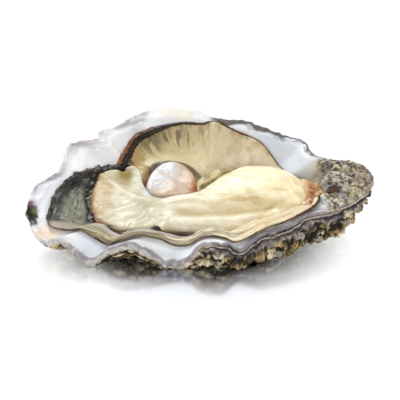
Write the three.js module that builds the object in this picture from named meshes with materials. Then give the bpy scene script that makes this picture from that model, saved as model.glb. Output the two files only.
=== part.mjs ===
// An opened oyster lying on its cupped half shell, in millimetres, +Z up.
//
// Everything is drawn in the lip frame: x runs from the bill (-) to the hinge (+), y from the front (-) to
// the back (+), and z is the height above the plane of the shell's lip. The finished group leans towards the
// front, because the shell lies on its rounded underside. It stands centred on the origin, its lowest face at
// z = 0.
import * as THREE from "three";

// ---- Driving dimensions: the shell ----------------------------------------------------------------------
const shellLength = 108;
const shellWidth = 58.6;
const cupDepth = 11.5; // floor of the cup below the lip plane
const floorThickness = 3.6; // shell under the floor of the cup
const lipThickness = 1.4; // height of the lip's edge
const waveHeight = 1; // height of the lip's waves, as a multiple of the drawn ones
const hingePlateHeight = 2.2; // top of the hinge block above the lip plane
const hingeGrooveDepth = 1.6; // of the groove that holds the ligament, at its inner end
const hingeGrooveSpread = 0.07; // the groove's half width, in radians about the cup's centre
const heelHeight = 5; // extra shell under the back of the cup, which takes the weight
const heelPlace = [2, 8]; // the middle of the heel, as x and y
const heelReach = [22, 9]; // how far the heel spreads from its middle along x and y
const leanDegrees = 17.2; // lean of the lip plane towards the front
const scarDepth = 3.4; // what the flat attachment scar takes off the underside

// ---- Driving dimensions: the soft parts, with heights from the lip plane --------------------------------
const seatGap = 0.6; // between the shell and a soft part that lies in it
const neighbourGap = 0.6; // between two soft parts side by side
const leastEdge = 0.9; // height of a soft part's side where it thins out
const mantleThickness = 1.8;
const mantleLeastWidth = 1.2; // where the organs reach furthest out
const adductorRadiusX = 8.2;
const adductorRadiusY = 7.2;
const adductorTop = -2.6;
const adductorEdge = -6.5;
const visceralTop = 1.6;
const visceralEdge = -2.4;
const gillTop = -1.2;
const gillEdge = -3.2;
const palpTop = -0.6;
const palpEdge = -2;
const domePower = 2.5; // how flat a soft part stays before it rounds down to its edge
const ligamentLength = 4.8;
const ligamentWidth = 3.4;
const ligamentThickness = 1.1;

// ---- Driving dimensions: the barnacles on the outside ---------------------------------------------------
const barnacleRadius = 2.2; // of the largest, at its foot
const barnacleHeight = 2.1;
const barnacleMouth = 0.5; // mouth's radius as a share of the foot's
const barnacleRim = 0.25; // width of the flat rim round the mouth
const barnacleShoulder = [0.88, 0.4]; // where the side bends, as shares of the foot's radius and the height
const barnacleCrater = 0.9; // depth of the mouth
const barnacleCraterFloor = 0.6; // crater floor's radius as a share of the mouth's
const barnacleStandOff = 0.35; // between a barnacle's foot and the shell

// ---- Mesh fineness --------------------------------------------------------------------------------------
const raysInShell = 96;
const cupRings = [0.2, 0.38, 0.54, 0.66, 0.76, 0.84, 0.9, 0.95, 1]; // as shares of the way up the cup's wall
const shelfRings = [0.5, 1]; // as shares of the way from the wall's top to the lip
const ringsUnderShell = 11;
const ringsInMantle = 3;
const stepsRoundSoft = 36;
const ringsInSoft = 6;
const stepsRoundLigament = 16;
const stepsRoundBarnacle = 14;
const slopeStep = 0.04; // in radians, between the points that a barnacle's slope is taken from

// ---- Drawn outlines, as x and y; the lip also has the height of its wave --------------------------------
const drawnLength = 108;
const drawnWidth = 56;
const drawnLip = [
  // hinge, from its beak round to the back
  [54.5, 4.2, 0], [50, 8.8, 0.6], [44, 9.8, 0.8], [37.5, 11.9, 0.8], [35.4, 14.2, 0.5],
  // back, from the hinge to the bill, with two broken steps
  [34.2, 17.4, 0.5], [28.3, 20, 0.5], [20.8, 23.4, 1], [14, 26.2, 1], [6.7, 26.8, 1], [2.9, 28.2, 1],
  [-1.7, 30.2, 1.5], [-13, 30.4, 1.5], [-20.8, 28.6, 1], [-25.4, 24.8, 1], [-32, 21.6, 1], [-32.4, 19.2, 0.2],
  [-38, 18.2, 0.5], [-41.6, 16, 1], [-42.8, 10.6, 0.5], [-44.6, 5.4, 0], [-49, 2, 0.5], [-51.8, -0.6, 1],
  // bill
  [-52.4, -4.5, 0.5], [-53.5, -9, 0], [-52.3, -13, -0.5], [-50, -17.6, -1], [-46.5, -19.8, -1],
  // front, from the bill to the hinge, in deep waves
  [-43, -19.6, 0], [-40, -21, -1], [-37, -23.9, -2.5], [-33, -24.9, -4], [-29.5, -23.5, -2], [-26, -22.9, 0],
  [-21, -22.4, 1.6], [-17.5, -23.4, 0], [-12, -25.1, -2.6], [-7.5, -25.6, -3.6], [-3.5, -25.1, -2],
  [0, -23.4, 1], [4.2, -22.9, 2], [8, -22.8, 1], [12, -23, -1.5], [16, -20.8, 0], [20, -18.2, 1.5],
  [26.7, -15.7, 1.5], [33.3, -11.4, 1], [38.3, -9.8, 1], [43, -7.8, 0.5], [49, -4.4, 0], [53, -0.2, 0],
];
const drawnMantle = [
  [36.2, 1.2], [31.7, 7.3], [28, 10.4], [25.6, 13.8], [23, 17.4], [19.8, 20.6], [12.5, 23.8], [2, 26.6],
  [-7, 26.8], [-16.7, 23.8], [-22.3, 19.4], [-24.8, 14], [-27.5, 10.2], [-35, 6.4], [-40.5, 3.4],
  [-44.2, -2.5], [-46, -10], [-44.4, -15.2], [-36.8, -15.8], [-31.7, -19], [-27, -20.4], [-20, -19.4],
  [-13, -19.2], [-8.3, -20.8], [-4, -21.2], [1.3, -20], [9, -20], [14, -18.4], [20, -15.8], [28, -12],
  [33.4, -8.6], [36.2, -5.8], [36.7, -2.5],
];
const drawnVisceral = [
  [31, 3.8], [27, 8.2], [18, 10.8], [9, 10.4], [3.4, 8], [1.1, 3.5], [-2.2, -0.6], [-7, -1.8], [-11.4, -1.6],
  [-12, -8], [-11.5, -14.2], [0, -15.2], [12, -15], [20, -12.8], [27, -9.4], [31.4, -7], [32.6, -1.6],
];
const drawnGills = [
  [-13.2, -2], [-17.6, 0.8], [-20, 4.6], [-21.6, 8], [-26, 7.8], [-31, 6.4], [-34.4, 3], [-34.6, -4],
  [-33, -9.8], [-29, -12.2], [-22, -14], [-13, -14.1], [-13.4, -8],
];
const drawnPalps = [[33, 2], [33.6, -1.8], [32.6, -6.2], [34.8, -4.6], [35.4, -2], [34.6, 0.8]];
const drawnCupCentre = [0, 3]; // where the rays of the shell start
const drawnVisceralCentre = [6, -5];
const drawnGillCentre = [-22, -4];
const drawnPalpCentre = [34.3, -2];
const drawnAdductorCentre = [-9.4, 7.4];
const drawnLigamentCentre = [43, -1.4];
// Each barnacle: direction from the cup's centre and how far up the side it sits, in degrees, and its size.
const barnacles = [
  [-82, 72, 0.62], [-43, 73, 0.9], [-31, 75, 1], [-22, 58, 0.75], [-14, 66, 0.85], [148, 52, 0.8],
];

// ---- Materials ------------------------------------------------------------------------------------------
const finish = (color, roughness) => new THREE.MeshStandardMaterial({ color, roughness, metalness: 0 });
const shellFinish = finish(0xb9b2a2, 0.75);
const mantleFinish = finish(0xa99c6c, 0.3);
const bodyFinish = finish(0xf0dfb0, 0.28);
const gillFinish = finish(0xe6dcbc, 0.3);
const muscleFinish = finish(0xd9cfc9, 0.2);
const palpFinish = finish(0xc98a45, 0.3);
const ligamentFinish = finish(0x4a2c17, 0.5);
const barnacleFinish = finish(0xa89c7c, 0.85);

// ---- Outlines -------------------------------------------------------------------------------------------
const stretchX = shellLength / drawnLength;
const stretchY = shellWidth / drawnWidth;

// A drawn point at the size of the real shell.
function stretched([x, y, z = 0]) {
  return new THREE.Vector3(x * stretchX, y * stretchY, z * waveHeight);
}

function smoothOutline(drawn, count) {
  const curve = new THREE.CatmullRomCurve3(drawn.map(stretched), true, "catmullrom", 0.5);
  return curve.getSpacedPoints(count).slice(0, -1);
}

function ellipse(centre, radiusX, radiusY, count) {
  return Array.from({ length: count }, (_, i) => {
    const turn = (2 * Math.PI * i) / count;
    return new THREE.Vector3(centre.x + radiusX * Math.cos(turn), centre.y + radiusY * Math.sin(turn), 0);
  });
}

const cupCentre = stretched(drawnCupCentre);
const lip = smoothOutline(drawnLip, raysInShell);

function angleOf(point) {
  return Math.atan2(point.y - cupCentre.y, point.x - cupCentre.x);
}

// Where a ray from the cup's centre crosses a closed outline for the last time.
function lastCrossing(angle, outline) {
  const ray = new THREE.Vector3(Math.cos(angle), Math.sin(angle), 0);
  const crossings = outline.map((start, i) => {
    const end = outline[(i + 1) % outline.length];
    const sideOfStart = ray.x * (start.y - cupCentre.y) - ray.y * (start.x - cupCentre.x);
    const sideOfEnd = ray.x * (end.y - cupCentre.y) - ray.y * (end.x - cupCentre.x);
    if (sideOfStart * sideOfEnd > 0 || sideOfStart === sideOfEnd) return cupCentre;
    return start.clone().lerp(end, sideOfStart / (sideOfStart - sideOfEnd));
  });
  const outwards = (point) => ray.dot(point.clone().sub(cupCentre));
  return crossings.reduce((best, point) => (outwards(point) > outwards(best) ? point : best), cupCentre);
}

function distanceOf(point) {
  return Math.hypot(point.x - cupCentre.x, point.y - cupCentre.y);
}

const reach = (angle, outline) => distanceOf(lastCrossing(angle, outline));

// ---- The shell's two surfaces ---------------------------------------------------------------------------
// A value that changes smoothly with direction, from stops of degrees and value. Degrees are counted as on a
// round shell: 0 is towards the hinge, 90 the back, 180 the bill and 270 the front.
function around(angle, stops) {
  const roundTurn = Math.atan2(Math.sin(angle) / shellWidth, Math.cos(angle) / shellLength);
  const degrees = (THREE.MathUtils.radToDeg(roundTurn) + 360) % 360;
  const loop = [...stops, [360, stops[0][1]]];
  const next = loop.findIndex(([stop]) => stop > degrees);
  const [fromDegrees, fromValue] = loop[next - 1];
  const [toDegrees, toValue] = loop[next];
  const share = (degrees - fromDegrees) / (toDegrees - fromDegrees);
  return THREE.MathUtils.lerp(fromValue, toValue, (1 - Math.cos(Math.PI * share)) / 2);
}

// Where the cup's wall ends and the flat shelf begins, as a share of the way to the lip.
const shelfStops = [
  [0, 0.735], [16, 0.87], [28, 0.93], [90, 0.93], [180, 0.87], [240, 0.8], [280, 0.8], [327, 0.9], [344, 0.8],
];
// How far the top of the wall lies below the lip.
const dropStops = [
  [0, -hingePlateHeight], [16, -0.7 * hingePlateHeight], [28, 0.6], [90, 1], [180, 1], [270, 1.2], [327, 0.4],
  [344, -0.8 * hingePlateHeight],
];
// The power with which the wall rises.
const steepnessStops = [[0, 7], [28, 4], [90, 3.6], [180, 2.2], [270, 2.8], [327, 5]];
// The power of the superellipse that the underside follows.
const roundnessStops = [[0, 3], [90, 2], [180, 1.45], [270, 2.6], [300, 4], [327, 4], [344, 3.5]];
// How deep the side of the underside is, as a share of the full depth.
const sideDepthStops = [
  [0, 0.4], [28, 0.8], [90, 1], [270, 1], [298, 1], [312, 0.65], [327, 0.55], [344, 0.45],
];
// How far the underside stands out past the lip, as a share of the lip's distance.
const bulgeStops = [[0, 0.02], [90, 0], [270, 0], [300, 0.07], [327, 0.13], [344, 0.07]];
const shelfStart = (angle) => around(angle, shelfStops);
const wallSteepness = (angle) => around(angle, steepnessStops);
const ruffle = (share, wave) => wave * share ** 5;

// How far the top of the cup's wall lies below the lip. The hinge block stands above it, and has a groove in
// its top.
function shelfDrop(angle) {
  const fromGroove = (angle - angleOf(stretched(drawnLigamentCentre))) / hingeGrooveSpread;
  return around(angle, dropStops) + hingeGrooveDepth * Math.exp(-(fromGroove ** 2));
}

// The cup rises from its floor as a power of the distance from its centre, then runs straight out to the lip.
function insideHeight(angle, share, wave) {
  const drop = shelfDrop(angle);
  const upTheWall = share / shelfStart(angle);
  const alongTheShelf = (share - shelfStart(angle)) / (1 - shelfStart(angle));
  if (upTheWall < 1) {
    const leftToRise = 1 - upTheWall ** wallSteepness(angle);
    return ruffle(share, wave) - drop - (cupDepth - drop) * leftToRise;
  }
  return ruffle(share, wave) - drop * (1 - alongTheShelf);
}

// The underside's section is a quarter of a superellipse, from under the lip to the lowest point. It bulges
// out under the lip between the front and the hinge, rises towards the hinge, and has a heel.
function undersidePoint(rim, rise) {
  const angle = angleOf(rim);
  const power = 2 / around(angle, roundnessStops);
  const share = Math.sin(rise) ** power;
  const point = cupCentre.clone().lerp(rim, share + around(angle, bulgeStops) * Math.sin(2 * rise));
  const alongHeel = (point.x - heelPlace[0]) / heelReach[0];
  const acrossHeel = (point.y - heelPlace[1]) / heelReach[1];
  const heel = heelHeight * Math.exp(-(alongHeel ** 2) - acrossHeel ** 2);
  const fullDepth = cupDepth + floorThickness - lipThickness + heel;
  const sideDepth = 1 + (around(angle, sideDepthStops) - 1) * share ** 2;
  const depth = fullDepth * sideDepth * Math.cos(rise) ** power;
  point.z = ruffle(share, rim.z) - lipThickness - depth;
  return point;
}

// The shell lies on a flat scar: everything lower than a level plane is cut off at that plane.
const lean = THREE.MathUtils.degToRad(leanDegrees);
const level = new THREE.Vector3(0, Math.sin(lean), Math.cos(lean)); // straight up, seen from the lip frame
const riseOfRing = (i) => (Math.PI / 2) * (1 - i / ringsUnderShell);
const underRises = Array.from({ length: ringsUnderShell }, (_, i) => riseOfRing(i));
const underRings = underRises.map((rise) => lip.map((rim) => undersidePoint(rim, rise)));
const lowestReach = Math.max(...underRings.flat().map((point) => -point.dot(level)));
const restingLevel = scarDepth - lowestReach;

function cutAtScar(point) {
  const below = restingLevel - point.dot(level);
  if (below > 0) point.z += below / level.z;
  return point;
}

// ---- Closed surfaces ------------------------------------------------------------------------------------
// Joins rings of points, each counter-clockwise from above, that run outwards on top and back inwards below.
// A ring of one point is a pole. A tube's last ring joins its first.
function skin(rings, isTube = false) {
  const starts = rings.map((_, i) => rings.slice(0, i).reduce((sum, ring) => sum + ring.length, 0));
  const faces = [];
  for (let i = 0; i < rings.length - (isTube ? 0 : 1); i++) {
    const next = (i + 1) % rings.length;
    const steps = Math.max(rings[i].length, rings[next].length);
    const inner = (j) => starts[i] + (j % rings[i].length);
    const outer = (j) => starts[next] + (j % rings[next].length);
    for (let j = 0; j < steps; j++) {
      if (rings[next].length > 1) faces.push(inner(j), outer(j), outer(j + 1));
      if (rings[i].length > 1) faces.push(inner(j), outer(j + 1), inner(j + 1));
    }
  }
  return new THREE.BufferGeometry().setFromPoints(rings.flat()).setIndex(faces);
}

function placed(name, geometry, material) {
  const mesh = new THREE.Mesh(geometry, material);
  mesh.name = name;
  return mesh;
}

// ---- The cupped shell -----------------------------------------------------------------------------------
function cuppedShell() {
  const insideRing = (shareOf) =>
    lip.map((rim) => {
      const share = shareOf(shelfStart(angleOf(rim)));
      const point = cupCentre.clone().lerp(rim, share);
      point.z = insideHeight(angleOf(rim), share, rim.z);
      return point;
    });
  const floor = cupCentre.clone().setZ(-cupDepth);
  const wall = cupRings.map((part) => insideRing((start) => start * part));
  const shelf = shelfRings.map((part) => insideRing((start) => start + (1 - start) * part));
  const under = underRings.map((ring) => ring.map(cutAtScar));
  const pole = cutAtScar(undersidePoint(lip[0], 0));
  return placed("cupped_shell", skin([[floor], ...wall, ...shelf, ...under, [pole]]), shellFinish);
}

// ---- The soft parts -------------------------------------------------------------------------------------
// The height of what lies in the shell at a point: clear of the shell by the seat gap, upwards and outwards.
function seat(point) {
  const rim = lastCrossing(angleOf(point), lip);
  return insideHeight(angleOf(point), (distanceOf(point) + seatGap) / distanceOf(rim), rim.z) + seatGap;
}

// A domed solid over an outline. It stands on the shell, and is never thinner than the least edge.
function domed(outline, centre, crown, edge) {
  const shares = Array.from({ length: ringsInSoft }, (_, i) => (i + 1) / ringsInSoft);
  const at = (share, isTop) =>
    outline.map((rim) => {
      const point = centre.clone().lerp(rim, share);
      const top = edge + (crown - edge) * (1 - share ** domePower);
      point.z = isTop ? Math.max(top, seat(point) + leastEdge) : seat(point);
      return point;
    });
  const tops = shares.map((share) => at(share, true));
  const bottoms = shares.map((share) => at(share, false)).reverse();
  const top = centre.clone().setZ(Math.max(crown, seat(centre) + leastEdge));
  const bottom = centre.clone().setZ(seat(centre));
  return skin([[top], ...tops, ...bottoms, [bottom]]);
}

const adductorCentre = stretched(drawnAdductorCentre);
const adductorOutline = ellipse(adductorCentre, adductorRadiusX, adductorRadiusY, stepsRoundSoft);

// Moves an outline's points straight out of the adductor's way.
function clearOfAdductor(outline) {
  const radii = new THREE.Vector3(adductorRadiusX + neighbourGap, adductorRadiusY + neighbourGap, 1);
  return outline.map((point) => {
    const away = point.clone().sub(adductorCentre);
    const inside = away.clone().divide(radii).length();
    return inside < 1 ? adductorCentre.clone().addScaledVector(away, 1 / inside) : point;
  });
}

const visceralOutline = clearOfAdductor(smoothOutline(drawnVisceral, stepsRoundSoft));
const gillOutline = clearOfAdductor(smoothOutline(drawnGills, stepsRoundSoft));
const palpOutline = smoothOutline(drawnPalps, stepsRoundSoft / 2);
const mantleOutline = smoothOutline(drawnMantle, 2 * stepsRoundSoft);

// The mantle is a skin of one thickness that lines the shell, in a ring round everything else that is soft.
function mantle() {
  const organs = [visceralOutline, gillOutline, palpOutline, adductorOutline];
  const angles = lip.map(angleOf);
  const organReach = angles.map((angle) => Math.max(...organs.map((organ) => reach(angle, organ))));
  const edges = angles.map((angle, i) => {
    const beside = [i - 1, i, (i + 1) % angles.length].map((j) => organReach.at(j));
    const inner = Math.max(...beside) + neighbourGap;
    return { angle, inner, outer: Math.max(reach(angle, mantleOutline), inner + mantleLeastWidth) };
  });
  const ring = (part, thickness) =>
    edges.map(({ angle, inner, outer }) => {
      const ray = new THREE.Vector3(Math.cos(angle), Math.sin(angle), 0);
      const point = cupCentre.clone().addScaledVector(ray, THREE.MathUtils.lerp(inner, outer, part));
      return point.setZ(seat(point) + thickness);
    });
  const parts = Array.from({ length: ringsInMantle + 1 }, (_, i) => i / ringsInMantle);
  const tops = parts.map((part) => ring(part, mantleThickness));
  const bottoms = parts.map((part) => ring(part, 0)).reverse();
  return placed("mantle", skin([...tops, ...bottoms], true), mantleFinish);
}

// The ligament is a pad of one thickness in the hinge's groove.
function hingeLigament() {
  const centre = stretched(drawnLigamentCentre);
  const outline = ellipse(centre, ligamentLength / 2, ligamentWidth / 2, stepsRoundLigament);
  const lifted = (point, height) => point.clone().setZ(seat(point) + height);
  const top = outline.map((point) => lifted(point, ligamentThickness));
  const bottom = outline.map((point) => lifted(point, 0));
  const rings = [[lifted(centre, ligamentThickness)], top, bottom, [lifted(centre, 0)]];
  return placed("hinge_ligament", skin(rings), ligamentFinish);
}

// ---- The barnacles --------------------------------------------------------------------------------------
// A barnacle is a blunt cone with a crater, standing square to the underside.
function barnacle([degrees, riseDegrees, size], i) {
  const angle = THREE.MathUtils.degToRad(degrees);
  const rise = THREE.MathUtils.degToRad(riseDegrees);
  const sidePoint = (turn, lift) => undersidePoint(lastCrossing(angle + turn, lip), rise + lift);
  const foot = sidePoint(0, 0);
  const alongSide = sidePoint(slopeStep, 0).sub(sidePoint(-slopeStep, 0));
  const upSide = sidePoint(0, slopeStep).sub(sidePoint(0, -slopeStep));
  const outwards = alongSide.cross(upSide).normalize();
  const radius = barnacleRadius * size;
  const height = barnacleHeight * size;
  const mouth = barnacleMouth * radius;
  const craterFloor = height - barnacleCrater * size;
  const profile = [
    new THREE.Vector2(0, 0),
    new THREE.Vector2(radius, 0),
    new THREE.Vector2(barnacleShoulder[0] * radius, barnacleShoulder[1] * height),
    new THREE.Vector2(mouth + barnacleRim, height),
    new THREE.Vector2(mouth, height),
    new THREE.Vector2(barnacleCraterFloor * mouth, craterFloor),
    new THREE.Vector2(0, craterFloor),
  ];
  const geometry = new THREE.LatheGeometry(profile, stepsRoundBarnacle);
  const mesh = placed(`barnacle_${i + 1}`, geometry, barnacleFinish);
  mesh.quaternion.setFromUnitVectors(new THREE.Vector3(0, 1, 0), outwards);
  mesh.position.copy(foot).addScaledVector(outwards, barnacleStandOff);
  return mesh;
}

// ---- The oyster -----------------------------------------------------------------------------------------
const visceralMass = domed(visceralOutline, stretched(drawnVisceralCentre), visceralTop, visceralEdge);
const gills = domed(gillOutline, stretched(drawnGillCentre), gillTop, gillEdge);
const adductorMuscle = domed(adductorOutline, adductorCentre, adductorTop, adductorEdge);
const labialPalps = domed(palpOutline, stretched(drawnPalpCentre), palpTop, palpEdge);

const inLipFrame = new THREE.Group();
inLipFrame.add(
  cuppedShell(),
  mantle(),
  placed("visceral_mass", visceralMass, bodyFinish),
  placed("gills", gills, gillFinish),
  placed("adductor_muscle", adductorMuscle, muscleFinish),
  placed("labial_palps", labialPalps, palpFinish),
  hingeLigament(),
  ...barnacles.map(barnacle),
);
inLipFrame.rotation.x = lean;

const oyster = new THREE.Group();
oyster.add(inLipFrame);
const box = new THREE.Box3().setFromObject(oyster, true);
const middle = box.getCenter(new THREE.Vector3());
inLipFrame.position.set(-middle.x, -middle.y, -box.min.z);

export default oyster;
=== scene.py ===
# %% [markdown]
# # An opened oyster on its cupped half shell
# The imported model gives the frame: the size of the shell and where each soft part lies. This script grows
# the fine surfaces on that frame, one piece after another, as sheets of points worked out with numpy. Every
# shape is written in millimetres in the lip frame: x runs from the bill to the hinge, y from the front to
# the back, and z is the height above the plane of the shell's lip. One function turns that into the row's
# frame.

# %% Load the frame
import math
import bpy
import numpy as np
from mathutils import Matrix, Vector


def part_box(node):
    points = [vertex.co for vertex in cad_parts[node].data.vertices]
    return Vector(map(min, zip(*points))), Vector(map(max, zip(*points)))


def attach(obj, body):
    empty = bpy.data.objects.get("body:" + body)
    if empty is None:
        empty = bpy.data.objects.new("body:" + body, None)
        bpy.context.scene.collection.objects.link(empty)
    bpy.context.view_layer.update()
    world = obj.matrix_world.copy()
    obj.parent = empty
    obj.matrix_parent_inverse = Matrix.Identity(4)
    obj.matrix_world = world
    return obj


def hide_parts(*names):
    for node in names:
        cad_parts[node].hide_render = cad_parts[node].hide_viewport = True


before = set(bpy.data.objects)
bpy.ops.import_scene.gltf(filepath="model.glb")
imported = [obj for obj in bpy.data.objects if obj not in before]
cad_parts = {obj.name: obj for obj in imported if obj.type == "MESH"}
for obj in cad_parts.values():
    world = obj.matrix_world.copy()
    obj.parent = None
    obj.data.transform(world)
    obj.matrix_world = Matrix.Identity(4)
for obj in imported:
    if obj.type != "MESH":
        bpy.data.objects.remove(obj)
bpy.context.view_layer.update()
print("the frame holds", sorted(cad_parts))

# %% [markdown]
# ## The lip, which everything else follows
# A real shell grows outwards from its hinge, and its lip is where it stopped. So the lip is drawn first, as
# a closed curve with its broken steps at the back and its deep waves at the front, and the other outlines
# are drawn inside it.

# %% Outlines, in millimetres: x, y and, on the lip, the height of the wave
LENGTH, WIDTH = 108.0, 58.6
DRAWN_WIDTH = 56.0
LIP = [
    (54.5, 4.2, 0), (50, 8.8, 0.6), (44, 9.8, 0.8), (37.5, 11.9, 0.8), (35.4, 14.2, 0.5), (34.2, 17.4, 0.5),
    (28.3, 20, 0.5), (20.8, 23.4, 1), (14, 26.2, 1), (6.7, 26.8, 1), (2.9, 28.2, 1), (-1.7, 30.2, 1.5),
    (-13, 30.4, 1.5), (-20.8, 28.6, 1), (-25.4, 24.8, 1), (-32, 21.6, 1), (-32.4, 19.2, 0.2),
    (-38, 18.2, 0.5), (-41.6, 16, 1), (-42.8, 10.6, 0.5), (-44.6, 5.4, 0), (-49, 2, 0.5), (-51.8, -0.6, 1),
    (-52.4, -4.5, 0.5), (-53.5, -9, 0), (-52.3, -13, -0.5), (-50, -17.6, -1), (-46.5, -19.8, -1),
    (-43, -19.6, 0), (-40, -21, -1), (-37, -23.9, -2), (-33, -24.9, -3.2), (-29.5, -23.5, -1.6),
    (-26, -22.9, 0), (-21, -22.4, 1.6), (-17.5, -23.4, 0), (-12, -25.1, -2.6), (-7.5, -25.6, -3.6),
    (-3.5, -25.1, -2), (0, -23.4, 1.4), (4.2, -22.9, 2.8), (8, -22.8, 1.8), (12, -23, -1.5), (16, -20.8, 0),
    (20, -18.2, 1.5), (26.7, -15.7, 1.5), (33.3, -11.4, 1), (38.3, -9.8, 1), (43, -7.8, 0.5), (49, -4.4, 0),
    (53, -0.2, 0),
]
CENTRE = np.array([0.0, 3.0 * WIDTH / DRAWN_WIDTH])
CUP_DEPTH, FLOOR_THICKNESS, LIP_THICKNESS = 11.5, 3.6, 1.4
HINGE_HEIGHT, GROOVE_DEPTH, GROOVE_SPREAD, GROOVE_ANGLE = 2.2, 1.6, 0.07, -0.107
HEEL_HEIGHT = 5.0
LEAN = math.radians(17.2)


def rounded(before, start, end, after, count):
    """Catmull-Rom curves from start to end: cubics whose slope at either end is half of the way between the
    two neighbours of that end."""
    t = np.linspace(0, 1, count, endpoint=False)[None, :, None]
    a, b, c, d = (points[:, None] for points in (before, start, end, after))
    curve = 0.5 * (2 * b + (c - a) * t + (2 * a - 5 * b + 4 * c - d) * t**2 + (3 * b - a - 3 * c + d) * t**3)
    return curve.reshape(-1, a.shape[-1])


def even_steps(curve, count, to_end):
    """A curve cut into steps of equal length, as measured in x and y."""
    along = np.concatenate([[0], np.cumsum(np.linalg.norm(np.diff(curve[:, :2], axis=0), axis=1))])
    wanted = np.linspace(0, along[-1], count, endpoint=to_end)
    return np.stack([np.interp(wanted, along, values) for values in curve.T], axis=1)


def ring(points, count):
    """A closed smooth curve through drawn points, with a height of 0 where none is given."""
    p = np.array([tuple(q) + (0.0,) * (3 - len(q)) for q in points], float)
    p[:, 1] *= WIDTH / DRAWN_WIDTH
    curve = rounded(*(np.roll(p, k, axis=0) for k in (1, 0, -1, -2)), 40)
    return even_steps(np.vstack([curve, curve[:1]]), count, False)


def direction(xy):
    """The angle of points about the cup's centre, in radians."""
    return np.arctan2(xy[..., 1] - CENTRE[1], xy[..., 0] - CENTRE[0])


def around(angle, stops):
    """A value that changes smoothly with direction: half a cosine wave from each stop to the next. Degrees
    are counted as on a round shell: 0 is towards the hinge, 90 the back, 180 the bill and 270 the front."""
    degrees = np.degrees(np.arctan2(np.sin(angle) / WIDTH, np.cos(angle) / LENGTH)) % 360
    at, values = zip(*(list(stops) + [(360, stops[0][1])]))
    at, values = np.array(at, float), np.array(values, float)
    i = np.clip(np.searchsorted(at, degrees, side="right") - 1, 0, len(at) - 2)
    share = (degrees - at[i]) / (at[i + 1] - at[i])
    return values[i] + (values[i + 1] - values[i]) * (1 - np.cos(np.pi * share)) / 2


def smooth(low, high, value):
    """0 below low, 1 above high, and an S-curve between them. It also runs downwards, from high to low."""
    t = np.clip((value - low) / (high - low), 0, 1)
    return t * t * (3 - 2 * t)


def bell(value):
    """1 at 0, falling off to both sides as a bell curve."""
    return np.exp(-(value**2))


def hump(x, y, wide, high):
    """A bell curve over two lengths, which falls off as fast as wide and high say."""
    return np.exp(-((x / wide) ** 2) - (y / high) ** 2)


LIP_STEPS = 720
lip = ring(LIP, LIP_STEPS)
lip_angle = direction(lip)
lip_reach = np.linalg.norm(lip[:, :2] - CENTRE, axis=1)
order = np.argsort(lip_angle)


def lip_at(angle):
    """How far the lip is from the cup's centre in a direction, and how high its wave is there."""
    wrapped = (angle + np.pi) % (2 * np.pi) - np.pi
    return (np.interp(wrapped, lip_angle[order], lip_reach[order], period=2 * np.pi),
            np.interp(wrapped, lip_angle[order], lip[order, 2], period=2 * np.pi))


print("the lip is", round(float(np.linalg.norm(np.diff(lip[:, :2], axis=0), axis=1).sum())), "mm round")

# %% [markdown]
# ## The shell's two surfaces
# The inside of the cup rises as a power of the distance from its centre and runs out flat to the lip. The
# outside is a rounded bowl whose section is a quarter of a superellipse. Both change with direction: the
# hinge is a solid block with a steep inner wall, and the bill is a shallow spout.

# %% The inside and the outside as formulas
SHELF = [
    (0, 0.735), (16, 0.87), (28, 0.93), (90, 0.93), (180, 0.87), (240, 0.8), (280, 0.8), (327, 0.9),
    (344, 0.8),
]
DROP = [(0, -HINGE_HEIGHT), (16, -0.7 * HINGE_HEIGHT), (28, 0.6), (90, 1), (180, 1), (270, 1.2), (327, 0.4),
        (344, -0.8 * HINGE_HEIGHT)]
STEEPNESS = [(0, 7), (28, 4), (90, 3.6), (180, 2.2), (270, 2.8), (327, 5)]
ROUNDNESS = [(0, 3), (90, 2), (180, 1.45), (270, 2.6), (300, 4), (327, 4), (344, 3.5)]
SIDE_DEPTH = [(0, 0.4), (28, 0.8), (90, 1), (270, 1), (298, 1), (312, 0.65), (327, 0.55), (344, 0.45)]
BULGE = [(0, 0.02), (90, 0), (270, 0), (300, 0.07), (327, 0.13), (344, 0.07)]


def inside_height(angle, share, wave):
    """Height of the cup's inside. Up to the shelf it is the floor plus the share of the way there to a
    power, and past it a straight slope up to the lip. The lip's wave fades inwards as the fifth power of
    the share."""
    shelf = around(angle, SHELF)
    off_groove = (angle - GROOVE_ANGLE + np.pi) % (2 * np.pi) - np.pi
    drop = around(angle, DROP) + GROOVE_DEPTH * bell(off_groove / GROOVE_SPREAD)
    wall = -drop - (CUP_DEPTH - drop) * (1 - np.minimum(share / shelf, 1) ** around(angle, STEEPNESS))
    out = -drop * (1 - (share - shelf) / (1 - shelf))
    return np.where(share < shelf, wall, out) + wave * share**5


def floor_height(xy):
    """Height of the cup's inside at points given by x and y."""
    angle = direction(xy)
    reach, wave = lip_at(angle)
    return inside_height(angle, np.linalg.norm(xy - CENTRE, axis=-1) / reach, wave)


def outside_surface(rim, rise):
    """Points of the underside below lip points. The way in is the sine of the rise to a power and the depth
    is its cosine to the same power, which together draw a superellipse. A bulge and a heel are added."""
    angle = direction(rim)
    power = 2 / around(angle, ROUNDNESS)
    share = np.sin(rise) ** power
    out = share + around(angle, BULGE) * np.sin(2 * rise)
    xy = CENTRE + (rim[..., :2] - CENTRE) * out[..., None]
    heel = HEEL_HEIGHT * hump(xy[..., 0] - 2, xy[..., 1] - 8, 22, 9)
    full = CUP_DEPTH + FLOOR_THICKNESS - LIP_THICKNESS + heel
    depth = full * (1 + (around(angle, SIDE_DEPTH) - 1) * share**2) * np.maximum(np.cos(rise), 0) ** power
    return np.concatenate([xy, (rim[..., 2] * share**5 - LIP_THICKNESS - depth)[..., None]], axis=-1)

# %% [markdown]
# ## From the lip frame to the row's frame
# The shell leans towards the front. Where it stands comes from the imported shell's own box: its ends give x,
# the back of the lip gives y, and the top of the lip gives z.

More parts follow.
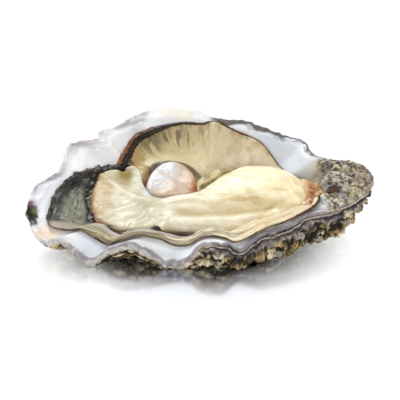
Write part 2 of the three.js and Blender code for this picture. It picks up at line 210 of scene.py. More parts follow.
# %% The frame's lean and place
box_low, box_high = (np.array(corner) * 1000 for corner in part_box("cupped_shell"))
leaned_y = lip[:, 1] * math.cos(LEAN) - (lip[:, 2] - LIP_THICKNESS) * math.sin(LEAN)
leaned_z = lip[:, 1] * math.sin(LEAN) + lip[:, 2] * math.cos(LEAN)
ORIGIN = np.array([(box_low[0] + box_high[0] - lip[:, 0].min() - lip[:, 0].max()) / 2,
                   box_high[1] - leaned_y.max(), box_high[2] - leaned_z.max()])
print("the lip frame starts at", ORIGIN.round(2), "mm")


def placed(p):
    """Lip frame to row frame: a turn about x by the lean, then a shift, in millimetres."""
    x, y, z = p[..., 0], p[..., 1], p[..., 2]
    turned_y, turned_z = y * math.cos(LEAN) - z * math.sin(LEAN), y * math.sin(LEAN) + z * math.cos(LEAN)
    return np.stack([x, turned_y, turned_z], axis=-1) + ORIGIN


def cad_middle(node):
    """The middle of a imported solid's box in the lip frame, and the box's lengths in the row frame."""
    low, high = (np.array(corner) * 1000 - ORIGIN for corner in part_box(node))
    x, y, z = (low + high) / 2
    level_y, level_z = y * math.cos(LEAN) + z * math.sin(LEAN), z * math.cos(LEAN) - y * math.sin(LEAN)
    return np.array([x, level_y, level_z]), high - low


CLEARANCE = 0.01


def above_ground(p):
    """Lifts points of the lip frame that would lie under the surface that the shell rests on."""
    height = p[..., 1] * math.sin(LEAN) + p[..., 2] * math.cos(LEAN) + ORIGIN[2]
    lifted = p.copy()
    lifted[..., 2] += np.maximum(CLEARANCE - height, 0) / math.cos(LEAN)
    return lifted

# %% [markdown]
# ## Camera, floor and light
# The camera looks down at a third of a right angle from in front. A long lens keeps the near edge from
# stretching. The floor is a white sheet lit from below. Round the shell it is wet, and mirrors the pale
# walls of a light tent. The walls are bright up to the height where the floor mirrors them. The roof is
# darker, so that the lamps model the form. Nodes are made by one small function that sets and joins their
# inputs by name, which keeps each material short.

# %% Camera and lamps
MM = 0.001
scene = bpy.context.scene
scene.view_settings.view_transform = "Standard"
ELEVATION, DISTANCE, LENS, AIM_BELOW = math.radians(33), 423.0, 120.0, 5.0
target = Vector((ORIGIN - (0, 0, AIM_BELOW)) * MM)
eye = Vector((0, -math.cos(ELEVATION), math.sin(ELEVATION)))
camera_data = bpy.data.cameras.new("camera")
camera_data.lens = LENS
camera_data.clip_start = 0.01
camera = bpy.data.objects.new("camera", camera_data)
camera.location = target + eye * DISTANCE * MM
camera.rotation_euler = eye.to_track_quat("Z", "Y").to_euler()
scene.collection.objects.link(camera)
scene.camera = camera
print("the camera stands", round(camera.location.length, 3), "m from the origin")

LAMP_AIM = Vector((0, 0, 0.01))
LAMPS = [  # name, place and width in metres, watts, colour
    ("tent_top", (-0.16, 0.26, 0.5), 0.26, 2.3, (1, 1, 1)),
    ("tent_left", (-0.5, -0.05, 0.32), 0.2, 0.7, (0.96, 0.98, 1)),
    ("tent_front", (0.26, -0.5, 0.2), 0.16, 0.85, (1, 0.98, 0.95)),
]
for name, place, width, watts, colour in LAMPS:
    data = bpy.data.lights.new(name, "AREA")
    data.size, data.energy, data.color = width, watts, colour
    lamp = bpy.data.objects.new(name, data)
    lamp.location = place
    lamp.rotation_euler = (Vector(place) - LAMP_AIM).to_track_quat("Z", "Y").to_euler()
    scene.collection.objects.link(lamp)
print(len(LAMPS), "soft lamps")

# %% [markdown]
# ## Materials are nodes
# A material in Blender is a tree of nodes with wires between them. It could be drawn by hand in the shader
# editor, but a few small functions that set and join inputs by name keep each material short and the same
# every time.

# %% Nodes, set and joined by name
def set_inputs(tree, node, inputs):
    """Gives each input of a node, by name or number, a value or another node's output."""
    for key, value in inputs.items():
        if isinstance(value, bpy.types.NodeSocket):
            tree.links.new(value, node.inputs[key])
        else:
            node.inputs[key].default_value = value


def node_of(tree, kind, inputs=None, **properties):
    """Adds a shader node, sets its properties and gives it its inputs."""
    node = tree.nodes.new("ShaderNode" + kind)
    for key, value in properties.items():
        setattr(node, key, value)
    set_inputs(tree, node, inputs or {})
    return node


def vector_math(tree, operation, *inputs):
    """One step of vector arithmetic."""
    return node_of(tree, "VectorMath", dict(enumerate(inputs)), operation=operation).outputs


def scaled(tree, vector, factor):
    """A vector or colour times a number."""
    return node_of(tree, "VectorMath", {0: vector, "Scale": factor}, operation="SCALE").outputs["Vector"]


def ramp(tree, value, start=(0, 1), end=(0, 1), curve="LINEAR"):
    """Maps the span of values called start to the span called end, and holds it at both ends."""
    spans = {"Value": value, "From Min": start[0], "From Max": start[1], "To Min": end[0], "To Max": end[1]}
    return node_of(tree, "MapRange", spans, interpolation_type=curve).outputs["Result"]


def new_material(name):
    """An empty node material, its tree, its Principled shader and the coordinates of the piece."""
    material = bpy.data.materials.new(name)
    material.use_nodes = True
    tree = material.node_tree
    return material, tree, tree.nodes["Principled BSDF"], node_of(tree, "TexCoord").outputs["Object"]

# %% [markdown]
# ## A tent of light and a wet sheet
# The tent is the world's background, bright at the sides and dimmer overhead. The floor glows evenly, so
# that its edge can't be seen, and an ellipse in the middle is a mirror instead, with painted shade that
# darkens it right under the shell.

# %% The light tent and the wet floor
WALL_TOP, ROOF_FROM, ROOF_LIGHT = 0.62, 0.8, 0.22
world = bpy.data.worlds.new("white_tent")
world.use_nodes = True
tree = world.node_tree
sky = node_of(tree, "SeparateXYZ", {0: node_of(tree, "TexCoord").outputs["Generated"]})
tent = ramp(tree, sky.outputs["Z"], (WALL_TOP, ROOF_FROM), (1, ROOF_LIGHT), "SMOOTHSTEP")
set_inputs(tree, tree.nodes["Background"], {"Color": (1, 1, 1, 1), "Strength": tent})
scene.world = world

FLOOR_HALF, SHEET_LIGHT, WET_TINT = 3.0, 1.04, (0.9, 0.93, 1.0)
WET_MIDDLE, WET_RADII = (-0.004, -0.006, 0), (0.047, 0.040, 1)
SHADE_MIDDLE, SHADE_RADII = (-0.004, -0.014, 0), (0.046, 0.022, 1)
corners = [(x * FLOOR_HALF, y * FLOOR_HALF, 0) for x, y in ((-1, -1), (1, -1), (1, 1), (-1, 1))]
floor_mesh = bpy.data.meshes.new("floor")
floor_mesh.from_pydata(corners, [], [(0, 1, 2, 3)])
floor = bpy.data.objects.new("floor", floor_mesh)
scene.collection.objects.link(floor)
floor_material, tree, shader, coords = new_material("lit_sheet")


def far_out(middle, radii):
    """How far out a point of the floor lies in an ellipse: 0 at its middle and 1 at its rim."""
    off_middle = vector_math(tree, "SUBTRACT", coords, middle)[0]
    return vector_math(tree, "LENGTH", vector_math(tree, "DIVIDE", off_middle, radii)[0])["Value"]


dry = ramp(tree, far_out(WET_MIDDLE, WET_RADII), (0.6, 1.2), curve="SMOOTHSTEP")
# painted shade: the mirror's colour darkens towards the middle of a smaller ellipse under the shell
shade = ramp(tree, far_out(SHADE_MIDDLE, SHADE_RADII), (0.3, 1.25), (0.3, 1), "SMOOTHSTEP")
set_inputs(tree, shader, {"Base Color": scaled(tree, WET_TINT, shade), "Metallic": 0.95, "Roughness": 0.17})
light = node_of(tree, "Emission", {"Color": (1, 1, 1, 1), "Strength": SHEET_LIGHT})
both = node_of(tree, "MixShader", {0: dry, 1: shader.outputs[0], 2: light.outputs[0]})
set_inputs(tree, tree.nodes["Material Output"], {"Surface": both.outputs[0]})
floor_mesh.materials.append(floor_material)
print("the floor's material has", len(tree.nodes), "nodes")

# %% [markdown]
# ## Chance that repeats itself
# Crust, streaks and wrinkles are irregular, but the same each time the script runs. Smooth noise gives
# values from whole-number corners that are scrambled by a formula, and blends between them. Cells come from
# scattered points: the distance to the nearest point, and to the second nearest, draws cobbles with cracks
# between them.

# %% Noise and cells for whole arrays of points
def scramble(corner, seed):
    """A number from 0 to 1 for each whole-number corner: its coordinates times large primes, folded and
    mixed."""
    i = corner.astype(np.int64)
    h = i[..., 0] * 374761393 + i[..., 1] * 668265263 + i[..., 2] * 2147483629
    h = (h + seed * 974634777) & 0xFFFFFFFF
    h = ((h ^ (h >> 13)) * 1274126177) & 0xFFFFFFFF
    h = ((h ^ (h >> 16)) * 2246822519) & 0xFFFFFFFF
    return ((h ^ (h >> 15)) & 0xFFFFFF) / float(0x1000000)


def noise(p, seed=0):
    """Smooth noise from -1 to 1: the eight corner values round a point, blended with a quintic curve."""
    base = np.floor(p)
    f = p - base
    f = f * f * f * (f * (f * 6 - 15) + 10)
    total = np.zeros(p.shape[:-1])
    for corner in np.ndindex(2, 2, 2):
        weight = np.prod(np.where(np.array(corner) == 1, f, 1 - f), axis=-1)
        total += weight * scramble(base + corner, seed)
    return total * 2 - 1


def rough(p, octaves=4, seed=0):
    """Noise on noise: each layer is twice as fine and half as strong as the one before."""
    return sum(noise(p * 2.0**k + 17.3 * k, seed + k) * 0.5**k for k in range(octaves))


def cells(p, seed=0):
    """Distance to the nearest and the second nearest scattered point, and a number for the nearest one."""
    base = np.floor(p)
    first = np.full(p.shape[:-1], 9.0)
    second, tag = first.copy(), first.copy()
    for corner in np.ndindex(3, 3, 3):
        cell = base + np.array(corner) - 1
        point = cell + np.stack([scramble(cell, seed + k) for k in range(3)], axis=-1)
        away = np.linalg.norm(p - point, axis=-1)
        closer = away < first
        second = np.where(closer, first, np.minimum(second, away))
        tag = np.where(closer, scramble(cell, seed + 7), tag)
        first = np.where(closer, away, first)
    return first, second, tag


def column(*parts):
    """Stacks coordinates into points, stretching them to one shape."""
    return np.stack(np.broadcast_arrays(*[np.asarray(a, float) for a in parts]), axis=-1)

# %% [markdown]
# ## Grids of points into pieces
# Each piece is a grid: rings one after another, each with the same number of points. A closed piece ends in
# a point at both ends. The colour of each point is worked out with the shape, so that a stain or a streak
# lies exactly where the form has its edge or fold, and it is kept on the mesh as an attribute that the
# material reads.

# %% Colours, and a grid made into a mesh
def tone(colour):
    """A colour given in the usual 0 to 255 steps, as linear light. An array of colours is linear
    already."""
    if isinstance(colour, np.ndarray):
        return colour
    c = np.array(colour) / 255
    return np.where(c <= 0.04045, c / 12.92, ((c + 0.055) / 1.055) ** 2.4)


def coats(under, *layers):
    """Lays colours over one another like thin coats of paint. Each is a colour and an amount from 0 to
    1."""
    c = tone(under)
    for over, amount in layers:
        c = c + (tone(over) - c) * np.clip(amount, 0, 1)[..., None]
    return c


def faces_of(rings, steps):
    """Quads between neighbouring rings, going round, and a fan of triangles to the point at either end."""
    j = np.arange(steps)
    nxt = (j + 1) % steps
    k = np.arange(rings - 1)[:, None] * steps
    quads = np.stack([k + j, k + nxt, k + steps + nxt, k + steps + j], axis=-1).reshape(-1, 4)
    last = (rings - 1) * steps
    start = np.stack([nxt, j, np.full(steps, rings * steps)], axis=-1)
    end = np.stack([last + j, last + nxt, np.full(steps, rings * steps + 1)], axis=-1)
    return quads, np.concatenate([start, end])


def capped(rows, steps):
    """Adds the means of the first and of the last ring, which close the two ends."""
    return np.vstack([rows, rows[:steps].mean(axis=0), rows[-steps:].mean(axis=0)])


def grown(name, p, colour, node, slot_name, material, **values):
    """Makes a piece from a grid of lip-frame points. It keeps its colour and other values at its points.
    The faces are turned out if the volume that they enclose comes out negative."""
    rings, steps = p.shape[:2]
    flat = capped(placed(p).reshape(-1, 3) * MM, steps)
    quads, fans = faces_of(rings, steps)
    a, b, c, d = (flat[quads[:, k]] for k in range(4))
    volume = np.einsum("ij,ij->", np.cross(b - a, c - a) + np.cross(c - a, d - a), (a + b + c + d) / 4)
    faces = quads.tolist() + fans.tolist()
    if volume < 0:
        faces = [face[::-1] for face in faces]
    mesh = bpy.data.meshes.new(name)
    mesh.from_pydata(flat.tolist(), [], faces)
    values["tint"] = np.concatenate([colour, np.ones(p.shape[:2] + (1,))], axis=-1)
    for key, value in values.items():
        if key != "tint":
            value = np.broadcast_to(value, p.shape[:2])
        value = capped(value.reshape(rings * steps, -1), steps)
        kind, field = ("FLOAT_COLOR", "color") if key == "tint" else ("FLOAT", "value")
        mesh.attributes.new(key, kind, "POINT").data.foreach_set(field, value.astype(np.float32).ravel())
    mesh.shade_smooth()
    mesh.materials.append(material)
    piece = bpy.data.objects.new(name, mesh)
    scene.collection.objects.link(piece)
    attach(piece, "root")
    if node:
        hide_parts(node)
    print(name, "has", len(faces), "faces")
    return piece

# %% [markdown]
# ## What the shell is made of
# The inside of the shell is mother of pearl, smooth and a little glossy. The outside is chalk and horn,
# dull and pitted. One material does both: the piece says at each point how crusty it is, and that sets the
# roughness and the depth of the fine relief. Two noises of different size keep the colour from lying flat.

# %% The shell's material
def relief(tree, height, depth, under=None):
    """A bump of a given depth in metres from a height, laid on another bump if there is one."""
    inputs = {"Height": height, "Distance": depth}
    if under:
        inputs["Normal"] = under
    return node_of(tree, "Bump", inputs).outputs["Normal"]


def mottled(tree, tint, coords, scale, low, high, detail=4.0):
    """The tint times a noise that runs from low to high, and the noise itself."""
    grain = node_of(tree, "TexNoise", {"Vector": coords, "Scale": scale, "Detail": detail, "Roughness": 0.6})
    spread = ramp(tree, grain.outputs["Fac"], (0.3, 0.7), (low, high))
    return scaled(tree, tint, spread), grain.outputs["Fac"]


def attribute(tree, name, output="Fac"):
    """A value that the piece keeps at its points."""
    return node_of(tree, "Attribute", attribute_name=name).outputs[output]


shell_material, tree, shader, coords = new_material("chalk_and_pearl")
crusty, tint = attribute(tree, "crust"), attribute(tree, "tint", "Color")
chalk_tint, chalk_grain = mottled(tree, tint, coords, 1000, 0.45, 1.5, 6)
pearl_tint, _ = mottled(tree, tint, coords, 90, 0.95, 1.04)
choice = node_of(tree, "Mix", {"Factor": crusty, 6: pearl_tint, 7: chalk_tint}, data_type="RGBA")
pits = node_of(tree, "TexVoronoi", {"Vector": coords, "Scale": 900}).outputs["Distance"]
pitted = node_of(tree, "Math", {0: chalk_grain, 1: pits}, operation="ADD").outputs[0]
crust_height = node_of(tree, "Math", {0: pitted, 1: crusty}, operation="MULTIPLY").outputs[0]
set_inputs(tree, shader, {
    "Base Color": choice.outputs[2], "Roughness": ramp(tree, crusty, end=(0.3, 0.86)),
    "Specular IOR Level": 0.35, "Normal": relief(tree, crust_height, 0.0005),
})
print("the shell's material has", len(tree.nodes), "nodes")

# %% [markdown]
# ## The shell as one grid
# The grid starts at the middle of the cup, climbs the inside to the lip, turns over it, and runs down the
# outside to the patch that it rests on. Rings lie closer together where more can be seen: near the lip and
# on the outside.

# %% The rings
def fine_lip():
    """The lip with small breaks: the drawn curve, pushed in and out by noise along its length, and jagged
    at the back where the thin edge has chipped in steps."""
    away = lip[:, :2] - CENTRE
    outward = away / np.linalg.norm(away, axis=1)[:, None]
    far = lip / 4.5
    nick = 0.55 * rough(far * 0.9, 3, seed=11) + 0.5 * np.abs(rough(far * 2.1, 3, seed=12))
    edge = lip.copy()
    edge[:, :2] += outward * nick[:, None]
    edge[:, 2] += 0.45 * rough(far * 1.1, 3, seed=13)
    return edge, outward


edge, outward = fine_lip()
share_in = np.concatenate([np.linspace(0.04, 0.55, 9), np.linspace(0.58, 1, 46)])
rise_out = np.pi / 2 * (1 - np.linspace(0, 1, 80)[1:-1] ** 1.25)
rise_out = np.concatenate([rise_out, [0.03]])
EDGE_TURN = np.radians([-50, 0, 50])
print(len(share_in), "rings inside and", len(rise_out), "outside")

# %% [markdown]
# ## Crust on the outside
# An oyster's outside is a pile of growth plates, each with a free edge that stands out towards the lip,
# broken into blocks and worn. So the relief is a sum: a saw-tooth of the distance below the lip for the
# plates, cobbles from the cells, and rough noise. The plates are thickest at the front towards the hinge.

# %% The relief of the outside
FLATTENED = (0.9, 0.9, 1.9)  # the blocks are wider than they are tall


def crust_relief(p, below):
    """How far the crust stands out in millimetres, and how deep in a crack each point lies, from 0 to 1,
    which sets the painted shade in the cracks.
    """
    wander = rough(p / 9, 3, seed=21)
    tall = p * FLATTENED
    front_right = smooth(-6, 14, p[..., 0]) * smooth(6, -4, p[..., 1])
    pitch = 4.2 - 0.8 * front_right
    along = ((below + 2.6 * wander) / pitch) % 1
    saw = np.minimum(along / 0.4, (1 - along) / 0.6)
    bent = tall + 0.9 * column(*(noise(tall / 2.4, seed) for seed in (25, 26, 27)))
    first, second, tag = cells(bent / 4.2, seed=22)
    small_first, small_second, _ = cells(bent / 1.8, seed=23)
    block = smooth(0.0, 0.3, second - first) * (0.4 + 0.6 * tag)
    pebble = smooth(0.0, 0.3, small_second - small_first)
    grain = rough(tall / 1.1, 3, seed=24)
    shelves = np.abs(noise(tall / 2.1, 28)) * 2 - 0.6
    lobes = smooth(4, -4, p[..., 0]) * smooth(-4, -12, p[..., 1])
    strength = smooth(0.4, 2.8 + 4 * lobes, below) * (0.72 + 0.5 * front_right - 0.3 * lobes)
    out = strength * (1.4 * saw + 1.4 * block + 0.5 * pebble + 0.32 * grain + 0.5 * shelves - 1.2)
    front = smooth(-10, 4, p[..., 0]) * smooth(4, -6, p[..., 1]) * smooth(52, 40, p[..., 0])
    out += 2.3 * front * smooth(0.8, 5, below) + 0.1 * grain
    # painted shade: how deep in a crack each point lies, used only to darken the colour there
    crack_shade = 1 - np.clip(0.55 * block + 0.26 * saw + 0.3 * pebble + 0.16 * shelves, 0, 1)
    return out, crack_shade * smooth(0.3, 2.5, below), tag, front_right


def lip_layers(p, below):
    """The thin plates seen edge on just under the lip, from 0 to 1: a wave of the distance below it."""
    return 0.5 + 0.5 * np.sin(below * 4.2 + 2.4 * noise(p / 9, 31) + 0.7 * noise(p / 2.5, 32))


def core_at(x):
    """The place inside the cup that the outside is turned away from, along the line from the bill to the
    hinge."""
    return column(np.clip(x, -38, 40) * 0.92, CENTRE[1], -1.0)


turned = outside_surface(np.repeat(edge[None], len(rise_out), axis=0), rise_out[:, None])
steps_down = np.linalg.norm(np.diff(turned, axis=0, prepend=turned[:1]), axis=-1)
below = np.cumsum(steps_down, axis=0)
outwards = turned - core_at(turned[..., 0])
outwards /= np.linalg.norm(outwards, axis=-1)[..., None]
stands_out, crack_shade, block_tag, front_right = crust_relief(turned, below)
outside = above_ground(turned + outwards * stands_out[..., None])
print("the crust stands out", stands_out.min().round(2), "to", stands_out.max().round(2), "mm")

# %% [markdown]
# ## Pearl on the inside
# The inside is nearly smooth. It has shallow waves, faint growth lines that follow the lip, and on the flat
# top of the hinge it turns into the same crust as the outside, because there the two shells no longer meet.

# %% The inside and the lip's edge
def spot(p, x, y, wide, high):
    """A soft round stain: 1 at its middle, falling off as a bell curve. x and y are drawn places."""
    return hump(p[..., 0] - x, p[..., 1] - y * WIDTH / DRAWN_WIDTH, wide, high)


def bill_tip(p):
    """The patch of crust that has grown over the very tip of the bill, from 0 to 1."""
    return np.clip(1.3 * spot(p, -54.4, -11, 3.4, 4.6), 0, 1)


shares = share_in[:, None]
angles = direction(lip)[None]
away = (lip[:, :2] - CENTRE)[None]
inner_xy = CENTRE + away * shares[..., None]
inside = np.concatenate([inner_xy, inside_height(angles, shares, lip[None, :, 2])[..., None]], axis=-1)
inside += (edge - lip)[None] * smooth(0.93, 1, shares)[..., None] ** 1.5
from_lip = (1 - shares) * np.linalg.norm(away, axis=-1)
hinge_top = smooth(36.5, 40.5, inside[..., 0] + 1.6 * rough(inside / 3, 3, seed=41))
hinge_top *= smooth(0.5, 0.72, shares)
lines = np.sin(from_lip * 2.2 + 2.5 * noise(inside / 8, 42)) * smooth(9, 2, from_lip)
first, second, hinge_tag = cells(inside / 1.5, seed=43)
inside[..., 2] += 0.9 * bill_tip(inside) * rough(inside / 1.6, 3, seed=60)
inside[..., 2] += (1 - hinge_top) * (0.22 * rough(inside / 7, 3, seed=44) + 0.05 * lines)
stones = 0.7 * smooth(0, 0.35, second - first) * hinge_tag
inside[..., 2] += hinge_top * (stones + 0.75 * rough(inside / 1.8, 4, 45) - 0.2)

half, EDGE_BULGE = LIP_THICKNESS / 2, 0.55
turn = EDGE_TURN[:, None]
edge_over = np.repeat((edge - (0, 0, half))[None], len(turn), axis=0)
edge_over[..., :2] += outward[None] * (EDGE_BULGE * np.cos(turn))[..., None]
edge_over[..., 2] -= half * np.sin(turn)
shell_points = np.concatenate([inside, edge_over, outside])
print("the shell's grid is", shell_points.shape[:2])

# %% [markdown]
# ## The shell's colours
# Nacre is a cool white that turns blue-grey where it thins. The lip is stained with grey and mauve in
# streaks that run outwards, the bill is dark, and the crust is ochre and olive with paler worn blocks and
# near-black painted shade in its cracks. Blue-grey on the back right wall and the front lobes, and brown
# beside the hinge, are painted shade on the nacre.

# %% Colour of the inside
WHITE, BLUE_WHITE, DARK_MAUVE, SLATE = (234, 234, 234), (221, 225, 232), (92, 80, 88), (60, 57, 58)
CREAM_STAIN, PEACH, OCHRE, OLIVE = (236, 222, 190), (224, 192, 152), (220, 188, 124), (174, 152, 100)
UMBER, CRACK_SHADE_BLACK, BONE, LILAC = (110, 88, 50), (10, 8, 6), (246, 232, 198), (150, 140, 158)


def colour_inside(p, near_lip, hinge):
    """White nacre, bluer in patches, with streaks that run outwards to the lip, and stains where they
    lie. Blue-grey on the back right wall and on the front lobes, and brown beside the hinge, are painted
    shade."""
    x, y = p[..., 0], p[..., 1]
    patches = rough(p / 11, 3, seed=52)
    streaks = rough(column(x / 5, y / 5, near_lip / 2.2), 4, seed=51)
    chipped, knobbly = rough(p / 2, 3, 53), rough(p / 1.2, 3, seed=59)
    back_left, bill = smooth(6, -4, x) * smooth(10, 17, y), smooth(-40, -47, x)
    stained = back_left * smooth(-15, -19, x)
    back_right, front = smooth(2, 6, x) * smooth(10, 14, y), smooth(-12, -18, y)
    plates_at = smooth(9, 16, x) * smooth(0, -6, y) * smooth(3.4, 1.8, near_lip + 0.5 * streaks)
    plate_line = np.sin(near_lip * 5.5 + 2.2 * noise(p / 7, 58))
    plate = coats((204, 198, 202), ((132, 120, 126), smooth(0.1, -0.7, plate_line)))
    speck, stone_high = rough(p / 0.75, 3, seed=54), rough(p / 1.6, 2, 57)
    lilac_at, moss_at = rough(p / 3.5, 3, seed=55), rough(p / 3.2, 3, seed=56)
    stone = coats(
        (136, 130, 114),
        ((206, 198, 178), 0.3 + 1.8 * speck),
        (LILAC, 0.6 * smooth(0.1, 0.5, lilac_at)),
        ((176, 160, 110), 0.5 * smooth(0.0, 0.4, moss_at + 0.02 * (x - 44))),
        ((54, 48, 38), 0.8 * smooth(-0.05, -0.5, speck + 0.35 * stone_high)),
    )
    return coats(
        WHITE,
        (BLUE_WHITE, 0.5 + 0.5 * patches),
        # painted shade: blue-grey on the back right wall of the cup
        ((204, 210, 218), smooth(10, 24, x) * smooth(-2, 6, y) * 0.8),
        # painted shade: blue-grey on the front lobes where the lip dips down
        ((188, 196, 206), 0.6 * spot(p, -35, -22, 4, 2.4) + 0.6 * spot(p, -11, -24, 7, 1.6)),
        ((206, 202, 204), stained * smooth(4.5, 1.5, near_lip + 2.5 * streaks) * 0.6),
        ((158, 152, 156), stained * smooth(2.6, 0.8, near_lip + 2.6 * streaks) * 0.75),
        ((238, 230, 212), back_left * smooth(-19, -14, x) * smooth(2.5, 0.5, near_lip + 2 * streaks) * 0.6),
        ((142, 128, 136), 0.8 * spot(p, -37, 17.2, 4.2, 1.6) * smooth(-0.9, 0.1, streaks)),
        (DARK_MAUVE, 0.8 * spot(p, -40.6, 16.6, 2.0, 1.2) * smooth(-0.7, 0.1, streaks)),
        (WHITE, 0.8 * spot(p, -27, 20, 6, 3) + 0.6 * spot(p, -38, 11, 5, 5)),
        (SLATE, back_right * smooth(1.3, 0.5, near_lip + 1.0 * streaks + 0.3 * patches) * 0.9),
        ((112, 98, 90), back_right * smooth(0.9, 0.2, near_lip + 1.6 * chipped) * 0.5),
        ((205, 206, 214), bill * smooth(6, 1, near_lip + 2 * streaks) * 0.7),
        ((120, 114, 120), bill * smooth(1.4, 0.4, near_lip + 1.2 * streaks) * smooth(-6, 0, y) * 0.7),
        ((22, 21, 17), smooth(0.22, 0.38, bill_tip(p) * (1 + 0.5 * knobbly))),
        ((118, 124, 62), 0.8 * spot(p, -51.4, -9.4, 0.9, 1.1)),
        ((124, 70, 84), 0.9 * spot(p, -52.6, -6.4, 1.5, 1.2)),
        (PEACH, 0.85 * spot(p, -47.5, -17.5, 4.5, 3)),
        (plate, 0.85 * plates_at * (1 - hinge)),
        ((200, 198, 200), front * smooth(2.2, 0.3, near_lip + 1.6 * streaks) * 0.6),
        ((92, 84, 90), front * smooth(0.8, 0.3, near_lip + 0.9 * streaks) * 0.7 * smooth(-44, -38, x)),
        (CREAM_STAIN, 0.7 * spot(p, 33, 3, 6, 5) + 0.8 * spot(p, 38, 7, 2.4, 3)),
        # painted shade: brown on the nacre between the palps and the hinge
        ((122, 92, 50), 0.9 * spot(p, 36.5, 1.5, 2.8, 2.4)),
        (stone, hinge),
    )


inside_colour = colour_inside(inside, from_lip, hinge_top)
inside_crust = np.clip(hinge_top + bill_tip(inside), 0, 1)
print("white nacre covers", round(100 * float((inside_crust < 0.5).mean())), "in 100 of the inside's points")

# %% Colour of the edge and the outside
def colour_outside(p, below, crack_shade, tag, front_right):
    """Near-black painted shade in the cracks, ochre and olive on the blocks, bone where they are worn, and
    layered under the lip."""
    x, y = p[..., 0], p[..., 1]
    fine = rough(p * FLATTENED / 1.4, 3, seed=61)
    broad = rough(p / 8, 3, seed=62)
    layers = lip_layers(p, below)
    plates = coats((128, 118, 120), ((24, 20, 22), 0.95 - 1.3 * layers),
                   (BONE, 0.6 * smooth(0.85, 1, layers + 0.15 * fine)))
    flare = coats((206, 202, 200), (SLATE, 0.6 * smooth(0.1, 0.6, fine + 0.4 * broad)))
    pale = coats((184, 178, 172), ((156, 148, 154), 0.5 + broad))
    right, front_left = smooth(-2, 4, x) * smooth(6, -2, y), smooth(2, -4, x) * smooth(0, -8, y)
    return coats(
        OLIVE,
        (OCHRE, 0.45 + 0.9 * fine + 0.5 * (tag - 0.5)),
        (BONE, 0.85 * smooth(0.5, 0.9, tag + 0.35 * fine)),
        (tone(LILAC) * 0.8, 0.35 * smooth(0.2, 0.7, broad) * (1 - 0.8 * front_right)),
        (UMBER, 0.8 * smooth(0.35, 0.1, tag + 0.2 * fine)),
        # painted shade: near-black in the cracks between the blocks
        (CRACK_SHADE_BLACK, smooth(0.24, 0.56, crack_shade + 0.2 * fine) * 0.98),
        (plates, right * smooth(2.9, 1.7, below + 0.8 * fine)),
        (flare, front_left * smooth(2.4, 1.0, below + 0.8 * fine) * 0.9),
        (pale, smooth(4, 12, y) * smooth(6, 1, below + 2 * fine) * 0.8),
    )


outside_colour = colour_outside(turned, below, crack_shade, block_tag, front_right)
EDGE_CRUST = np.array([[0.1], [0.35], [0.7]])
edge_mix = (np.arange(len(EDGE_TURN))[:, None, None] + 1) / 4
worn = np.clip(edge_mix * 1.5 + 0.5 * rough(edge_over / 1.6, 3, seed=63)[..., None] - 0.15, 0, 1)
edge_colour = inside_colour[-1][None] * (1 - worn) + outside_colour[0][None] * worn
edge_crust = np.clip(inside_crust[-1][None] + EDGE_CRUST, 0, 1)
shell_colour = np.concatenate([inside_colour, edge_colour, outside_colour])
shell_crust = np.concatenate([inside_crust, edge_crust, smooth(0.0, 1.2, below) * 0.4 + 0.6])
shell = grown("half_shell", shell_points, shell_colour, "cupped_shell", "shell", shell_material,
              crust=shell_crust)
print("the shell stands on z =", round(min(v.co.z for v in shell.data.vertices) * 1000, 3), "mm")

# %% [markdown]
# ## What the soft parts are made of
# Oyster flesh is wet and slightly see-through: light goes in, spreads a millimetre or two, and comes out
# warmer. So each tissue has subsurface light, and a thin clear coat for the liquor on it. Fine parallel
# lines, such as the threads of the gills and the fibres of the muscle, are a sine of a phase that the piece
# carries at its points.

# %% Tissue materials
def tissue(name, roughness, wet, glow, comb_dark=0.2, comb_depth=0.00008, shine=0.5):
    """A wet translucent material that reads its tint, the phase of its lines and how strong the lines
    are."""
    material, tree, shader, coords = new_material(name)
    soft_tint, _ = mottled(tree, attribute(tree, "tint", "Color"), coords, 260, 0.93, 1.06)
    fine_tint, fine = mottled(tree, soft_tint, coords, 700, 0.95, 1.05, 5)
    wave = node_of(tree, "Math", {0: attribute(tree, "comb")}, operation="SINE").outputs[0]
    line = node_of(tree, "Math", {0: wave, 1: attribute(tree, "combed")}, operation="MULTIPLY").outputs[0]
    lined = scaled(tree, fine_tint, ramp(tree, line, (-1, 1), (1 - comb_dark, 1 + comb_dark * 0.4)))
    set_inputs(tree, shader, {
        "Base Color": lined, "Roughness": roughness, "Specular IOR Level": shine, "Coat Weight": wet,
        "Coat Roughness": 0.12, "Subsurface Weight": glow, "Subsurface Radius": (1.0, 0.62, 0.36),
        "Subsurface Scale": 0.0016, "Normal": relief(tree, line, comb_depth, relief(tree, fine, 0.00012)),
    })
    return material


body_material = tissue("cream_flesh", 0.45, 0.25, 0.3, 0.08)
gill_material = tissue("gill_threads", 0.48, 0.2, 0.2, 0.22)
mantle_material = tissue("mantle_skin", 0.45, 0.25, 0.12, 0.26, 0.0001)
fringe_material = tissue("dark_fringe", 0.5, 0.15, 0.0, 0.25, shine=0.25)
muscle_material = tissue("muscle_fibre", 0.4, 0.3, 0.25, 0.1)
palp_material = tissue("palp_skin", 0.3, 0.7, 0.4, 0.2)
ligament_material = tissue("torn_ligament", 0.6, 0.2, 0.05, 0.5, 0.0003)
print("seven tissues")

# %% [markdown]
# ## Distances to drawn lines, and soft pillows
# Folds, creases and stains follow lines that are drawn on the oyster like a river on a map. One function
# tells every point how far it is from such a line and how far along it lies. Most soft parts are pillows:
# rings that shrink from a drawn outline to its middle, over the top and back underneath, and are then given
# their height.

